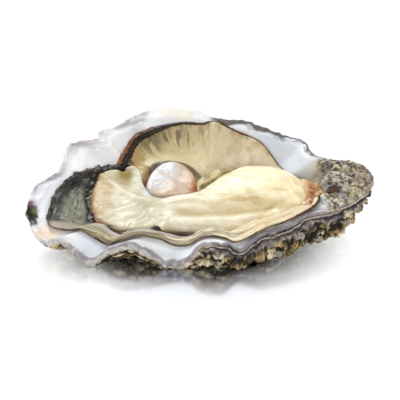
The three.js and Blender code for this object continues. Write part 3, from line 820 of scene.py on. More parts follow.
# %% Trails and pillows
def trail(p, path):
    """Distance in millimetres to a bent line, and the share of its length at the nearest place. For each
    straight stretch the nearest place is the foot of the perpendicular, held between the ends."""
    line = np.array(path, float) * (1, WIDTH / DRAWN_WIDTH)
    length = np.linalg.norm(np.diff(line, axis=0), axis=1)
    start = np.concatenate([[0], np.cumsum(length)])
    best = np.full(p.shape[:-1], 1e9)
    share = np.zeros(p.shape[:-1])
    for k, stretch in enumerate(np.diff(line, axis=0)):
        t = np.clip(((p[..., :2] - line[k]) @ stretch) / length[k]**2, 0, 1)
        away = np.linalg.norm(p[..., :2] - line[k] - t[..., None] * stretch, axis=-1)
        share = np.where(away < best, (start[k] + t * length[k]) / start[-1], share)
        best = np.minimum(away, best)
    return best, share


def ridge(p, path, width, height, lift=0.0):
    """A soft ridge or groove along a line: a bell curve of the distance, fading to nothing at both ends."""
    away, share = trail(p, path)
    return height * bell(away / width) * (lift + (1 - lift) * smooth(0, 0.12, share) * smooth(1, 0.88, share))


def drop_from_edge(share, power):
    """A rounded edge, from 0 in the middle to 1 at the rim: a quarter turn of a superellipse."""
    return 1 - np.sqrt(np.maximum(1 - share**power, 0))


def pillow(outline, centre, shares_up, shares_down, steps):
    """A soft part's rings as points at height 0: out over its top, then back under it. Also gives the share
    of the outline that each ring has, and how many rings are on top."""
    rim = ring(outline, steps)[:, :2]
    middle = np.array(centre) * (1, WIDTH / DRAWN_WIDTH)
    share = np.concatenate([shares_up, shares_down])[:, None]
    xy = middle + (rim - middle)[None] * share[..., None]
    return np.concatenate([xy, 0 * xy[..., :1]], axis=-1), share, len(shares_up)


def drawn(p):
    """The x and y of points as they are in the drawn outlines."""
    return p[..., 0], p[..., 1] * DRAWN_WIDTH / WIDTH


def close_under(p, top, below_rim, above_floor):
    """Closes a pillow underneath, a given depth below its rim or, where that is lower, above the cup's
    floor."""
    under = np.minimum(p[top - 1, :, 2][None] - below_rim, floor_height(p[top:, :, :2]) + above_floor)
    p[top:, :, 2] = under


# %% [markdown]
# ## The mantle
# The mantle is the skirt that lines the cup and built the shell. It is a thin sheet on the shell's inside,
# with a pleated edge. At the back it stands as a smooth olive wall with dark streaks, at the bill it is a
# grey-green fan of pleats, and along the front it lies in long folds beside the body.

# %% The mantle's sheet
FRINGE = [
    (36.4, 1.2), (31.7, 6.2), (28.2, 9), (25.8, 13), (23, 16.6), (19.4, 19.9), (12.5, 23.4), (2, 26.3),
    (-7, 27), (-16.6, 24.6), (-21.8, 20.2), (-24.6, 15), (-27.6, 10.8), (-35, 6.4), (-40.5, 3.4),
    (-44.2, -2.5), (-46, -10), (-46.4, -14.6), (-42, -16.2), (-36.8, -16.6), (-31.7, -19.4), (-27.5, -21),
    (-20, -19.6), (-13, -19.4), (-8.3, -21), (-4, -21.4), (1.3, -20.4), (9, -21), (14, -20), (20, -17.8),
    (28, -14.1), (33.6, -10.3), (36.8, -6.6), (37, -2.5),
]
PATCH_EDGE = [(-33, 6.6), (-34.4, 3), (-35, -1), (-34.4, -5), (-34.2, -9.5), (-33.6, -14)]
FRONT_FOLD = [
    (-46.8, -14.2), (-41, -13.4), (-35, -13.4), (-30, -14.6), (-26.4, -16.8), (-22, -17.6), (-14, -17.2),
    (-6, -17.6), (3, -18), (12, -17.2), (19, -14.9), (27, -11.2), (33, -7.8),
]
OUTER_FOLD = [
    (-38, -15.6), (-33, -17.2), (-28.5, -19.6), (-23, -18.9), (-15, -18.2), (-9, -19.2), (-4, -20),
    (2, -19.2), (10, -18.8), (17, -16.4),
]
TONGUE = [(-20.5, 17), (-19, 12), (-17.6, 8), (-17, 5), (-17.2, 3.4)]
# the line along the body's back edge where painted shade lies on the mantle
BODY_SHADE_LINE = [(33, 3.4), (28.6, 8.2), (23, 10.9), (17.5, 11.4), (12, 10.8), (6, 9)]
MANTLE_UP = np.concatenate([np.linspace(0.08, 0.4, 8), np.linspace(0.43, 1, 66)])
SKIN = 0.25  # the underside's height above the cup

m, share, top = pillow(FRINGE, (0, 3), MANTLE_UP, np.linspace(0.99, 0.1, 10), 620)
m[..., 2] = floor_height(m[..., :2])
from_fringe = (1 - share) * np.linalg.norm(m[top - 1, :, :2] - CENTRE, axis=-1)[None]
mx, my = drawn(m)
m_angle = direction(m)
round_mantle = column(np.cos(m_angle) * 24, np.sin(m_angle) * 24, from_fringe / 7)
LEFT = smooth(-33.2, -35, mx + 0.5 * noise(m / 3, 70)) * smooth(-15.6, -14, my)
FRONT = smooth(-10.5, -14, my) * (1 - LEFT)
BACK = smooth(0, 8, my) * (1 - LEFT)
by_muscle = np.linalg.norm((m[..., :2] - (-9.2, 7.2)) / (1.12, 1), axis=-1)
pleats = rough(round_mantle * (1, 1, 0.25) / 1.1, 3, seed=71)
pocket_lines = from_fringe * 5.2 + 4.0 * noise(m / 3.2, 72)
pocket_depth = 0.12 + 0.2 * noise(m / 2.6, 87)
height = 1.8 - 1.1 * drop_from_edge(share, 60) * np.ones_like(mx)
height += BACK * (0.03 * pleats * smooth(11, 1, from_fringe) + 2.2 * bell(np.maximum(by_muscle - 8, 0) / 3.5))
height += LEFT * (pocket_depth * np.sin(pocket_lines) * smooth(0.5, 2, from_fringe) + 0.6)
height += ridge(m, FRONT_FOLD, 1.2, 0.8, 1) + ridge(m, OUTER_FOLD, 0.7, 0.4) + 0.25 * rough(m / 5, 3, 73)
height += FRONT * 0.16 * np.sin(from_fringe * 6 + 5 * noise(m / 6, 74))
height[top:] = SKIN
m[..., 2] += height
print("the mantle rises from", m[..., 2].min().round(1), "to", m[..., 2].max().round(1), "mm")

# %% [markdown]
# ## Painting the mantle
# The skin of the mantle is thin, and most of what shows is pigment: streaks that hang from the fringe, soot
# in the pocket, and lines along the folds. A dark line above the body's back edge and a dark ring round the
# muscle are painted shade. Each region gets a function of its own, and masks lay the three over one another.
# Painting by formula, and not with a texture, ties each line to the fold that it belongs to.

# %% The mantle's colours and lines
BAND, BAND_PALE, BAND_DARK = (214, 202, 158), (230, 214, 182), (112, 92, 46)
PATCH, PATCH_DARK, FOLD_GREY, FOLD_TAN = (124, 124, 104), (42, 42, 36), (206, 196, 188), (250, 240, 206)
SOOT, RUST, BROWN_LINE = (14, 12, 10), (142, 80, 28), (80, 52, 28)


def band_colour(broad):
    """Olive beige with dark streaks and drips that start at the fringe, and a brown tongue beside the
    muscle. A dark line above the body's back edge and a dark ring round the muscle are painted shade."""
    thread = round_mantle * (1, 1, 0.12)
    spread = 0.7 * noise(thread / 0.75, 76) + 0.6 * noise(thread / 0.36, 77)
    reach_noise = np.clip(0.6 + 1.2 * noise(round_mantle * (1, 1, 0) / 1.1, 80), 0, 1.6)
    reach = 1.4 + 3.4 * smooth(12, -14, mx) * reach_noise
    streak = smooth(-0.1, 0.3, spread) * smooth(reach, reach * 0.6, from_fringe)
    drips = noise(column(m_angle * 34, from_fringe / 2.6, 0), 86)
    drip_reach = smooth(9, 3, from_fringe) * smooth(10, -10, mx)
    corner = smooth(-8, -16, mx) * smooth(8, 14, my)
    blotch = rough(column(mx / 2.4, my / 2.4, 0), 4, 88)
    tongue, tongue_share = trail(m, TONGUE)
    body_shade_away, _ = trail(m, BODY_SHADE_LINE)
    muscle_shade_ring = smooth(9.9, 8.9, by_muscle + 0.15 * broad) * smooth(3, 7, my) * smooth(-19, -15, mx)
    return coats(
        BAND,
        (BAND_PALE, smooth(-6, 16, mx + 4 * broad)),
        ((236, 224, 194), 0.4 * smooth(10, 16, from_fringe) * BACK),
        ((190, 168, 116), 0.5 * smooth(5, 0, from_fringe + 2 * broad) * BACK),
        (BAND_DARK, BACK * streak * (0.35 + 0.5 * smooth(10, -12, mx))),
        ((140, 118, 64), 0.75 * BACK * smooth(4, -12, mx) * smooth(6.5, 0.5, from_fringe + 1.2 * broad)),
        ((62, 50, 26), 0.85 * BACK * smooth(0.32, 0.6, drips) * drip_reach),
        ((84, 68, 36), 0.8 * corner * smooth(-0.1, 0.4, spread + 0.1) * smooth(9, 3, from_fringe)),
        ((172, 150, 98), 0.35 * smooth(0.0, 0.6, blotch) * smooth(12, 3, from_fringe) * BACK),
        ((186, 156, 98), 0.9 * smooth(3.2, 1.4, tongue + 0.5 * broad)),
        ((160, 98, 44), 0.9 * smooth(2.6, 1.1, tongue) * smooth(0.45, 0.9, tongue_share)),
        ((74, 54, 30), 0.8 * bell((tongue - 2.5) / 0.6) * smooth(0.2, 0.5, tongue_share)),
        # painted shade: a dark line where the body's back edge meets the wall behind it
        ((84, 60, 34), 0.85 * bell(body_shade_away / 0.8)),
        # painted shade: a dark ring on the mantle round the muscle
        ((70, 48, 26), 0.9 * muscle_shade_ring),
        ((150, 130, 78), 0.8 * spot(m, 2, 8, 3.5, 3.5)),
    )


def pocket_colour(broad):
    """Grey-green pleats at the bill, blackened towards the fringe and beside the gills."""
    lines = np.sin(pocket_lines)
    edge_away, _ = trail(m, PATCH_EDGE)
    sooty = smooth(-0.9, 0.0, rough(m / 1.2, 3, 89) + 0.6)
    return coats(
        PATCH,
        (PATCH_DARK, 0.7 * smooth(0.1, -1.1, 0.6 * lines + 1.9 * rough(m / 1.5, 3, 90))),
        ((170, 174, 152), 0.4 * smooth(0.3, 1.0, 0.5 * lines + 1.7 * rough(m / 1.3, 3, 78))),
        (SOOT, smooth(5.6, 3.4, from_fringe + 2.2 * broad) * sooty),
        (SOOT, smooth(3.0, 1.2, edge_away + 1.2 * broad) * 0.9),
    )


def front_colour(broad):
    """Tan folds with fine olive lines, a grey crest on the long fold, and peach towards the hinge."""
    fold_away, fold_share = trail(m, FRONT_FOLD)
    outer_away, _ = trail(m, OUTER_FOLD)
    fine = np.sin(from_fringe * 6 + 5 * noise(m / 6, 74))
    left_lines = smooth(0.0, -0.8, fine) * smooth(-17, -24, mx) * smooth(-43, -37, mx)
    return coats(
        FOLD_TAN,
        ((208, 198, 160), smooth(-20, -32, mx + 3 * broad) * 0.9),
        ((122, 106, 72), 0.5 * smooth(-0.6, -0.98, fine) * smooth(6, -16, mx)),
        ((96, 90, 66), 0.65 * left_lines),
        (FOLD_GREY, smooth(1.5, 0.7, fold_away) * smooth(0.75, 0.5, fold_share)),
        ((112, 84, 58), 0.75 * bell((fold_away - 1.5) / 0.28) * smooth(0.1, 0.3, fold_share)),
        ((104, 88, 68), 0.5 * bell((outer_away - 0.8) / 0.25)),
        ((110, 94, 62), 0.6 * smooth(1.3, 0.4, from_fringe + 0.3 * broad) * smooth(8, 0, mx)),
        (tone(FOLD_GREY) * 0.9, 0.8 * smooth(-36, -40, mx)),
        ((246, 222, 180), 0.7 * smooth(10, 18, mx)),
    )


broad = rough(m / 7, 3, seed=75)
mantle_colour = coats(
    band_colour(broad), (pocket_colour(broad), LEFT), (front_colour(broad), FRONT),
    (SOOT, 1.3 * spot(m, -24.4, 12.2, 2.4, 1.8)),
    ((120, 88, 44), 0.6 * smooth(28, 33, mx) * smooth(-2, 2, my)),
)
comb = np.where(LEFT > 0.5, 3 * pocket_lines, m_angle * 150)
comb = np.where(FRONT > 0.5, from_fringe * 11 + 7 * noise(m / 5, 79), comb)
combed = 0.2 * LEFT + 0.7 * FRONT + 0.05 * BACK * smooth(9, 2, from_fringe)
combed *= smooth(0.02, 0.12, np.abs(LEFT - 0.5)) * smooth(0.02, 0.12, np.abs(FRONT - 0.5))
combed *= smooth(34, 30, mx)
grown("mantle_skirt", m, mantle_colour, "mantle", "mantle", mantle_material, comb=comb, combed=combed)

# %% [markdown]
# ## Ribbons: the dark fringe
# The mantle's edge is a dark frill that feels for the water. It is a section carried along a line, pushed
# from side to side by noise. It is thick and nearly black at the bill and the back, and a thin brown line
# beside the hinge.

# %% A ribbon along a path
def ribbon(path, across, up, ruffle, lift, seed, sides=14):
    """Carries an oval section along a path. Its half widths are given at each step, its middle follows the
    path with noise to the side and in height, and its skin is roughened by finer noise."""
    ahead = np.roll(path, -1, axis=0) - np.roll(path, 1, axis=0)
    ahead[0], ahead[-1] = path[1] - path[0], path[-1] - path[-2]
    ahead /= np.linalg.norm(ahead[:, :2], axis=1)[:, None]
    side = column(-ahead[:, 1], ahead[:, 0], 0 * ahead[:, 0])
    middle = path + side * (ruffle * rough(path / 1.7, 2, seed))[:, None]
    middle[:, 2] += lift + 0.5 * ruffle * rough(path / 1.9, 2, seed + 3)
    turn = np.linspace(0, 2 * np.pi, sides, endpoint=False)
    p = middle[:, None] + side[:, None] * (across[:, None] * np.cos(turn))[..., None]
    p[..., 2] += up[:, None] * np.sin(turn)
    bumpy = 1 + np.minimum(0.35, 0.12 + ruffle)[:, None] * rough(p / 0.9, 2, seed + 5)
    return middle[:, None] + (p - middle[:, None]) * bumpy[..., None], turn


def smooth_path(points, count):
    """An open line on the cup's inside through drawn points, rounded and cut into equal steps."""
    p = np.array(points, float) * (1, WIDTH / DRAWN_WIDTH)
    p = np.vstack([2 * p[0] - p[1], p, 2 * p[-1] - p[-2]])
    xy = even_steps(np.vstack([rounded(p[:-3], p[1:-2], p[2:-1], p[3:], 20), p[-2]]), count, True)
    return np.concatenate([xy, floor_height(xy)[:, None]], axis=1)


# %% The fringe and the frill at the bill
line = np.roll(ring(FRINGE, 760), -12, axis=0)[:-24]  # open at the hinge, behind the palps
line[:, 2] = floor_height(line[:, :2])
lx, ly = line[:, 0], line[:, 1]
at_back = smooth(6, -12, lx) * smooth(4, 10, ly)
at_bill = smooth(-24, -30, lx) * smooth(-14.5, -12, ly)
at_right = smooth(6, 20, lx) * smooth(-6, 0, ly)
at_front = smooth(-13, -16, ly)
from_end = np.minimum(np.arange(len(line)), np.arange(len(line))[::-1])
taper = np.minimum(1, from_end / 10) ** 0.5
thick_back = at_back * smooth(-6, -21, lx)
across = (0.4 + 0.15 * at_back + 1.1 * thick_back + 0.9 * at_bill - 0.1 * at_right - 0.14 * at_front) * taper
up = (0.55 + 0.1 * at_back + 0.7 * thick_back + 0.7 * at_bill - 0.15 * at_right - 0.2 * at_front) * taper
fringe, turn = ribbon(line, across, up, 0.08 - 0.02 * at_back + 0.3 * at_bill, 0.9, 81)
outer_side = smooth(-0.35, 0.45, -np.cos(turn))[None]
fine = rough(fringe / 1.1, 3, seed=82)
dark, rusty = 0.9 * np.maximum(at_back, at_bill), thick_back * smooth(11, 14.5, ly)
patchy = smooth(0.0, 0.35, rough(fringe / 5, 3, seed=83))
fringe_colour = coats(
    BROWN_LINE,
    (SOOT, dark[:, None] + 0.4 * fine),
    (RUST, rusty[:, None] * outer_side**2 * 0.95 * smooth(-0.3, 0.2, fine + 0.3)),
    ((122, 102, 76), 0.9 * at_front[:, None] * (1 + 0.5 * fine)),
    ((44, 36, 26), 0.8 * at_front[:, None] * patchy),
    ((112, 78, 42), 0.8 * at_right[:, None]),
    ((100, 104, 92), 0.35 * at_bill[:, None] * smooth(0.3, 0.6, fine)),
)
grown("mantle_fringe", fringe, fringe_colour, None, "mantle", fringe_material, comb=0, combed=0)

line = smooth_path(PATCH_EDGE, 150)
taper = np.sin(np.linspace(0.15, np.pi - 0.15, len(line))) ** 0.4
frill, _ = ribbon(line, 1.3 * taper, 1.0 * taper, 0.75 * taper, 2.5, 85)
frill_colour = coats(SOOT, ((150, 148, 138), 0.8 * smooth(0.25, 0.6, rough(frill, 3, seed=86))))
grown("bill_frill", frill, frill_colour, None, "mantle", fringe_material, comb=0, combed=0)

# %% [markdown]
# ## The lie of the flesh
# The body and the gills swell and dip as one landscape, so one function gives the height of both. The body
# is a long mound that is highest towards the hinge. The gills fan out to the left, with a raised fold and a
# hollow beside it. The two also share a tone, so that the body's thin left end runs into the gills without
# a step.

# %% Heights and tones that the body and the gills share
GILL_FOLD = [(-31.5, 6), (-28, 2.5), (-24, -1), (-19, -4.2), (-13, -5.6)]
LONG_CREASE = [(-9, -8.8), (0, -9.6), (10, -9.4), (20, -8), (26, -5.6)]
LOWER_FOLD = [(-12, -12.6), (-2, -12.9), (10, -12.7), (20, -10.4)]


def flesh(p):
    """Height of the soft mass: a long mound, lower folds along the front, and the fan of the gills."""
    x, y = drawn(p)
    z = -1.7 + 2.5 * hump(x - 21, y - 1.0, 15, 7.2)
    z += 1.1 * hump(x - 2, y + 4.6, 20, 3.4)
    z += ridge(p, LOWER_FOLD, 2.2, 0.9) - ridge(p, LONG_CREASE, 1.4, 1.1)
    z += ridge(p, GILL_FOLD, 1.3, 1.3, 0.6)
    z -= 1.2 * smooth(3.2, -1.2, (x * 0.62 - (y - 1.5) * 0.78)) * smooth(-3, 2, x) * smooth(-2, 1, y)
    z -= 1.9 * hump(x + 22, y - 5.2, 4.2, 3.6)
    z += 0.7 * hump(x + 29.5, y + 4, 4.4, 7)
    z -= 0.8 * hump(x + 13.5, y + 1.5, 4, 3)
    return z + 0.4 * rough(column(x * 0.1, y * 0.19, 0), 4, 91)


def fan_angle(p):
    """The direction of the gill threads, in radians, about the place where they gather below the muscle."""
    x, y = drawn(p)
    turn = np.arctan2(y - 1, x + 8)
    return np.where(turn < 0, turn + 2 * np.pi, turn)


def gill_tone(p):
    """Cream with duller threads that follow the fan."""
    broad = rough(column(p[..., 0] / 6, p[..., 1] / 6, 0), 3, seed=96)
    threads = rough(column(fan_angle(p) * 9, np.hypot(p[..., 0], p[..., 1]) / 6, 0), 4, 99)
    return coats((206, 198, 172), ((220, 214, 192), 0.5 + 1.2 * broad),
                 ((190, 178, 140), 0.45 * smooth(0.1, 0.6, threads)))


# %% The body's form
BODY = [
    (32, 4.4), (28.2, 7.8), (23, 10.2), (17.5, 10.7), (12.6, 9.8), (7.6, 6.8), (3.4, 2.8), (-1.2, -1),
    (-7, -2.3), (-12, -2.8), (-15.5, -4.4), (-16.2, -8), (-15.4, -12), (-13.6, -15), (-9, -15.2),
    (0, -15.8), (12, -15.6), (20, -13.4), (27, -10), (32.4, -7.4), (34.6, -3.4), (34.4, 0.6),
]
FLESH_UP = np.concatenate([np.linspace(0.05, 0.75, 36), 1 - 0.25 * np.linspace(1, 0, 22)[1:] ** 1.6])
FLESH_DOWN = np.linspace(0.98, 0.1, 9)
b, share, top = pillow(BODY, (8, -4), FLESH_UP, FLESH_DOWN, 460)
bx, by = drawn(b)
thin = smooth(-7, -14, bx)
edge_depth = 3.4 - 3.0 * thin
edge_round = drop_from_edge(share, 22)
b[..., 2] = flesh(b) + (0.35 - 0.17 * thin) * (1 - edge_round) - edge_depth * edge_round
wrinkles = np.sin(bx * 2.1 + 1.2 * by + 2 * noise(b / 3, 92)) * smooth(5, -1, by)
b[..., 2] += smooth(24, 33, bx) * 0.35 * wrinkles
close_under(b, top, 1.2, 3)
print("the body's top is", b[..., 2].max().round(1), "mm above the lip's plane")

# %% [markdown]
# ## Painting the body
# The body is cream with a buttery crown that carries a painted highlight. Painted shade lies low on the
# mound, in its long crease and round its rim, veins and fine hairs run along it, and it turns orange where it
# meets the palps.

# %% The body's colours
CREAM, BUTTER, PAINTED_SHADE = (230, 220, 192), (240, 226, 184), (192, 170, 122)


def colour_body():
    """Cream, buttery on the mound with a painted highlight on its crown, olive painted shade low on the
    mound and in the long crease, a dark painted rim, paler and greener along the front."""
    broad = rough(b / 8, 3, seed=93)
    veins = rough(column(bx / 6 + by / 9, by / 1.7, 0), 4, seed=98)
    hairs = rough(column(bx / 3.2 + by / 5, by / 0.55, 0), 4, seed=104)
    away, _ = trail(b, LONG_CREASE)
    return coats(
        CREAM,
        (BUTTER, smooth(2, 18, bx + 5 * broad)),
        ((216, 208, 186), smooth(5, -9, bx + 3 * broad) * 0.9),
        # painted shade: an olive patch low on the mound's front slope
        (PAINTED_SHADE, 0.85 * spot(b, 15.5, -5.6, 6.5, 3.0) + 0.3 * spot(b, 8, -5, 9, 3)),
        ((206, 186, 138), 0.4 * smooth(0.05, 0.5, veins)),
        ((244, 236, 214), 0.45 * smooth(-0.05, -0.5, veins)),
        ((196, 176, 130), 0.3 * smooth(0.25, 0.7, hairs) * smooth(22, 8, bx)),
        # painted shade along the long crease
        ((206, 188, 142), 0.55 * bell(away / 1.7)),
        ((168, 140, 92), 0.35 * bell(away / 0.9) * smooth(-0.1, 0.5, broad + 0.3)),
        ((236, 232, 216), 0.6 * ridge(b, LOWER_FOLD, 1.8, 1.0)),
        # painted highlight on the crown of the mound
        ((250, 240, 208), 0.55 * spot(b, 22, 3.5, 9, 3)),
        (gill_tone(b), smooth(-6, -12, bx + 2 * broad)),
        ((206, 146, 78), 0.85 * smooth(31.5, 35, bx + 1.8 * broad)),
        ((92, 54, 26), 0.9 * spot(b, 25.2, -11.6, 0.9, 0.6) + 0.7 * spot(b, 29.4, -8.6, 0.8, 0.5)),
        ((176, 116, 62), 0.6 * ridge(b, [(20, -13), (23, -12.4), (25.4, -11.4)], 0.4, 1.0)),
        # painted shade: a dark rim along the body's edge
        ((120, 88, 48), 0.8 * smooth(0.972, 0.995, share) * (1 - thin)),
    )


comb = np.where(bx < -8, fan_angle(b) * 170 + 5 * noise(b / 4, 97), bx * 2.0 + by * 9 + 6 * noise(b / 7, 94))
combed = 0.25 * smooth(20, 8, bx) * smooth(0, 3, np.abs(bx + 8)) * (1 - 0.4 * thin) * smooth(0.99, 0.9, share)
grown("soft_body", b, colour_body(), "visceral_mass", "body", body_material, comb=comb, combed=combed)

# %% [markdown]
# ## The olive fold
# Between the muscle and the body a fold of the mantle comes up, olive. It is a low pillow that fills the
# corner, with a dark line of painted shade round its rim where it meets the wall behind it.

# %% The fold behind the body
FOLD = [
    (-2, 0), (3, 1), (8, 5), (14, 9), (18, 10.4), (14, 11.6), (8, 11.2), (2.6, 9.4), (-1, 6.6), (-2.2, 3),
]
f, share, top = pillow(FOLD, (4.5, 6.8), np.linspace(0.05, 1, 26) ** 0.8, np.linspace(0.97, 0.1, 7), 240)
fx, _ = drawn(f)
f[..., 2] = -3.9 + 1.3 * smooth(2, 14, fx) - 2.6 * drop_from_edge(share, 7) + 0.3 * rough(f / 3, 3, 141)
f[..., 2] += ridge(f, [(-1, 3.4), (2, 5), (6, 7.4), (12, 9.6)], 0.9, 0.7)
close_under(f, top, 0.8, 2)
fold_colour = coats(
    (206, 188, 138),
    ((140, 118, 66), 0.4 + rough(f / 2.4, 3, 142)),
    # painted shade: a dark rim round the fold
    ((96, 72, 38), smooth(0.86, 0.98, share) * 0.9),
    ((84, 66, 36), 0.8 * ridge(f, [(-1, 2.2), (2, 3.6), (5, 5.6)], 0.55, 1.0, 0.4)),
)
grown("olive_fold", f, fold_colour, None, "mantle", mantle_material, comb=fx * 6, combed=0.1)

# %% [markdown]
# ## The gills
# The gills are combs of fine threads. They radiate from the muscle to the left and the front, under a thin
# veil of mantle, and slip beneath the body's edge. Their left edge is thick and tan, their hollow is painted
# olive with shade, and a small bluish glint is painted beside the muscle.

# %% The gills
GILLS = [
    (-8, -4), (-13.5, -2), (-16.4, 0.6), (-18.2, 4.4), (-19, 8.6), (-21.2, 11), (-23.6, 10.4), (-24.6, 8.8),
    (-27.4, 9.2), (-31, 8), (-33.6, 5.4), (-34.6, 1), (-34.6, -4), (-34, -9), (-32.4, -12.6),
    (-29.5, -14.2), (-25, -15.6), (-20, -15.6), (-14, -15.2), (-8, -14.8),
]
g, share, top = pillow(GILLS, (-22, -4), FLESH_UP, FLESH_DOWN, 420)
gx, gy = drawn(g)
under_body = smooth(-13, -9, gx)
fan, from_root = fan_angle(g), np.hypot(gx + 8, gy - 1)
edge_round = drop_from_edge(share, 26)
g[..., 2] = flesh(g) - 2.6 * edge_round - 1.2 * under_body
g[..., 2] += 0.2 * rough(column(fan * 3, from_root / 7, 0), 3, 84) * smooth(3, 9, from_root)
g[..., 2] += 0.04 * np.sin(fan * 40 + 5 * noise(g / 5, 95)) * smooth(5, 12, from_root) * (1 - edge_round)
close_under(g, top, 1.2, 2.4)


def colour_gills():
    """Cream and greenish white, with painted olive shade in the hollow, a painted bluish glint by the muscle,
    a pale fold and a tan edge at the left.
    """
    broad = rough(g / 6, 3, seed=96)
    tan_edge = smooth(0.8, 0.96, share + 0.05 * broad) * smooth(-22, -30, gx) * smooth(8, 4, gy)
    return coats(
        gill_tone(g),
        # painted shade: olive in the hollow
        ((156, 136, 74), 1.1 * spot(g, -23.4, 6.4, 4.2, 3.8) * (0.8 + 0.6 * broad)),
        ((204, 212, 190), 0.85 * spot(g, -20.2, 7.4, 1.3, 4.6)),
        ((230, 222, 198), 0.8 * ridge(g, GILL_FOLD, 1.2, 1.0, 0.6)),
        ((184, 158, 108), 0.75 * smooth(-26.5, -32, gx + 3.0 * broad) * smooth(9, 5, gy)),
        ((140, 98, 50), 0.95 * tan_edge),
        ((60, 46, 30), 0.9 * spot(g, -24.6, 9.2, 1.5, 1.0)),
        ((52, 40, 28), 0.85 * spot(g, -13.6, -14.7, 1.5, 0.9) + 0.8 * spot(g, -28.4, -13.9, 2.2, 0.7)),
        # painted highlight: a small bluish glint beside the muscle
        ((214, 226, 234), 0.8 * spot(g, -16.8, -0.6, 2.0, 1.6)),
        ((110, 80, 50), 0.8 * smooth(0.95, 1.0, share) * smooth(-12, -16, gx) * smooth(-8, -12, gy)),
    )


grown("gill_fan", g, colour_gills(), "gills", "gill", gill_material,
      comb=fan * 170 + 5 * noise(g / 4, 97), combed=0.2 * smooth(4, 9, from_root) * (1 - under_body))

# %% [markdown]
# ## The hem
# Along the front the gills and the body end in a dark, scalloped hem. It is a thin ribbon again, thicker at
# the two places where it is bunched, and it follows the height of the flesh.

# %% The hem of the gills
HEM = [
    (-33, -12.4), (-30.4, -13.4), (-28, -14.2), (-25, -16), (-20, -16.2), (-15.6, -15.2), (-13.6, -14.4),
    (-11, -15.8), (-4, -16.1), (6, -16.5), (14, -16.1), (20, -14.2),
]
line = smooth_path(HEM, 300)
line[:, 1] -= 0.35
line[:, 2] = flesh(line) - 0.55
bunched = bell((line[:, 0] + 27.8) / 2.6) + bell((line[:, 0] + 13.6) / 1.4)
taper = np.sin(np.linspace(0.1, np.pi - 0.02, len(line))) ** 0.5
across = (0.3 + 0.55 * bunched) * taper * smooth(24, -12, line[:, 0]) + 0.12 * taper
hem, _ = ribbon(line, across, across * 1.1, 0.12 + 0.25 * bunched, 0.0, 151)
hem_colour = coats((96, 72, 50), (SOOT, (0.7 * bunched)[:, None] + 0.2 + 0.7 * rough(hem / 1.2, 3, seed=152)))
grown("gill_hem", hem, hem_colour, None, "gill", fringe_material, comb=0, combed=0)

# %% [markdown]
# ## The muscle
# One strong muscle shuts the shell. Cut through, it is a glistening disc of fibres with a pearly, bluish
# half and a pinker half, and it stands a little free of the flesh round it.

# %% The muscle
MUSCLE = [
    (-17.4, 4), (-15.8, 9), (-12.8, 12.5), (-9, 13.7), (-4.8, 12.2), (-2, 8.4), (-0.7, 3.6), (-0.7, -0.2),
    (-3, -1.2), (-7, -1.2), (-13, -0.8), (-16.9, 0.8),
]
a, share, top = pillow(MUSCLE, (-9, 6.4), np.linspace(0.04, 1, 44) ** 0.8, np.linspace(0.99, 0.1, 9), 300)
ax, ay = drawn(a)
a[..., 2] = -3.3 - 0.25 * share**2 - 3.4 * drop_from_edge(share, 24) + 0.16 * rough(a / 5, 3, 101)
a[..., 2] -= 0.25 * bell(((ax + 8.5) * 0.6 + (ay - 7) * 0.8) / 1.4)
close_under(a, top, 1, 1.5)
fibre = rough(a / (3.0, 1.6, 2), 3, seed=102)
muscle_colour = coats(
    (198, 180, 160),
    ((196, 200, 204), smooth(3, -6, (ax + 9) - 0.7 * (ay - 6) + 1.6 * fibre)),
    ((216, 200, 184), 0.5 * smooth(0.0, 0.5, fibre)),
    ((192, 150, 108), 0.7 * smooth(-5.6, -2.0, ax + 0.8 * fibre) + 0.3 * spot(a, -10, 0.5, 6, 1.6)),
    ((154, 92, 32), 1.3 * spot(a, -0.9, 1.6, 2.6, 3.8) + 0.8 * spot(a, -3.4, 11.6, 3.0, 2.2)),
    ((126, 92, 58), 0.5 * smooth(0.95, 1.0, share)),
)
grown("muscle_disc", a, muscle_colour, "adductor_muscle", "muscle", muscle_material,
      comb=(ax * 0.8 + ay * 1.2) * 4 + 3 * noise(a / 3, 103), combed=0.2)

# %% [markdown]
# ## Palps and ligament
# At the hinge end the body narrows to the palps, small wrinkled lips that pass food to the mouth. Behind
# them lies what is left of the ligament, the horny spring that held the two shells together, torn when they
# were parted.

# %% The palps
PALPS = [
    (30.6, 4), (34.8, 3.6), (38.4, 1.4), (40.2, -2), (39.6, -5.2), (36.4, -7.4), (31.4, -7.6), (29.4, -3),
    (29.4, 1),
]
NO_FLOOR = 99.0  # so high that only the rim counts
q, share, top = pillow(PALPS, (34, -2.2), np.linspace(0.05, 1, 30) ** 0.8, np.linspace(0.98, 0.1, 7), 240)
qx, qy = drawn(q)
folds = np.sin(qy * 3.4 + 1.6 * qx + 2.5 * noise(q / 2.5, 111))
q[..., 2] = -0.9 + 0.5 * bell((qx - 34) / 3.4) + 0.1 * folds + 0.3 * rough(q / 2.2, 3, 113)
q[..., 2] -= 1.8 * drop_from_edge(share, 10)
close_under(q, top, 1.0, NO_FLOOR)
crumple = rough(q / 2.2, 3, 113)
palp_colour = coats(
    (206, 164, 104),
    ((150, 92, 44), smooth(0.1, -0.5, crumple + 0.2 * folds)),
    ((216, 170, 104), 0.8 * smooth(35.5, 31, qx + 1.2 * crumple)),
    ((226, 200, 168), 0.5 * smooth(0.15, 0.5, crumple)),
    ((110, 66, 34), 0.6 * smooth(0.9, 1.0, share)),
)
grown("lip_palps", q, palp_colour, "labial_palps", "palp", palp_material, comb=qy * 14 + 5 * qx, combed=0.5)

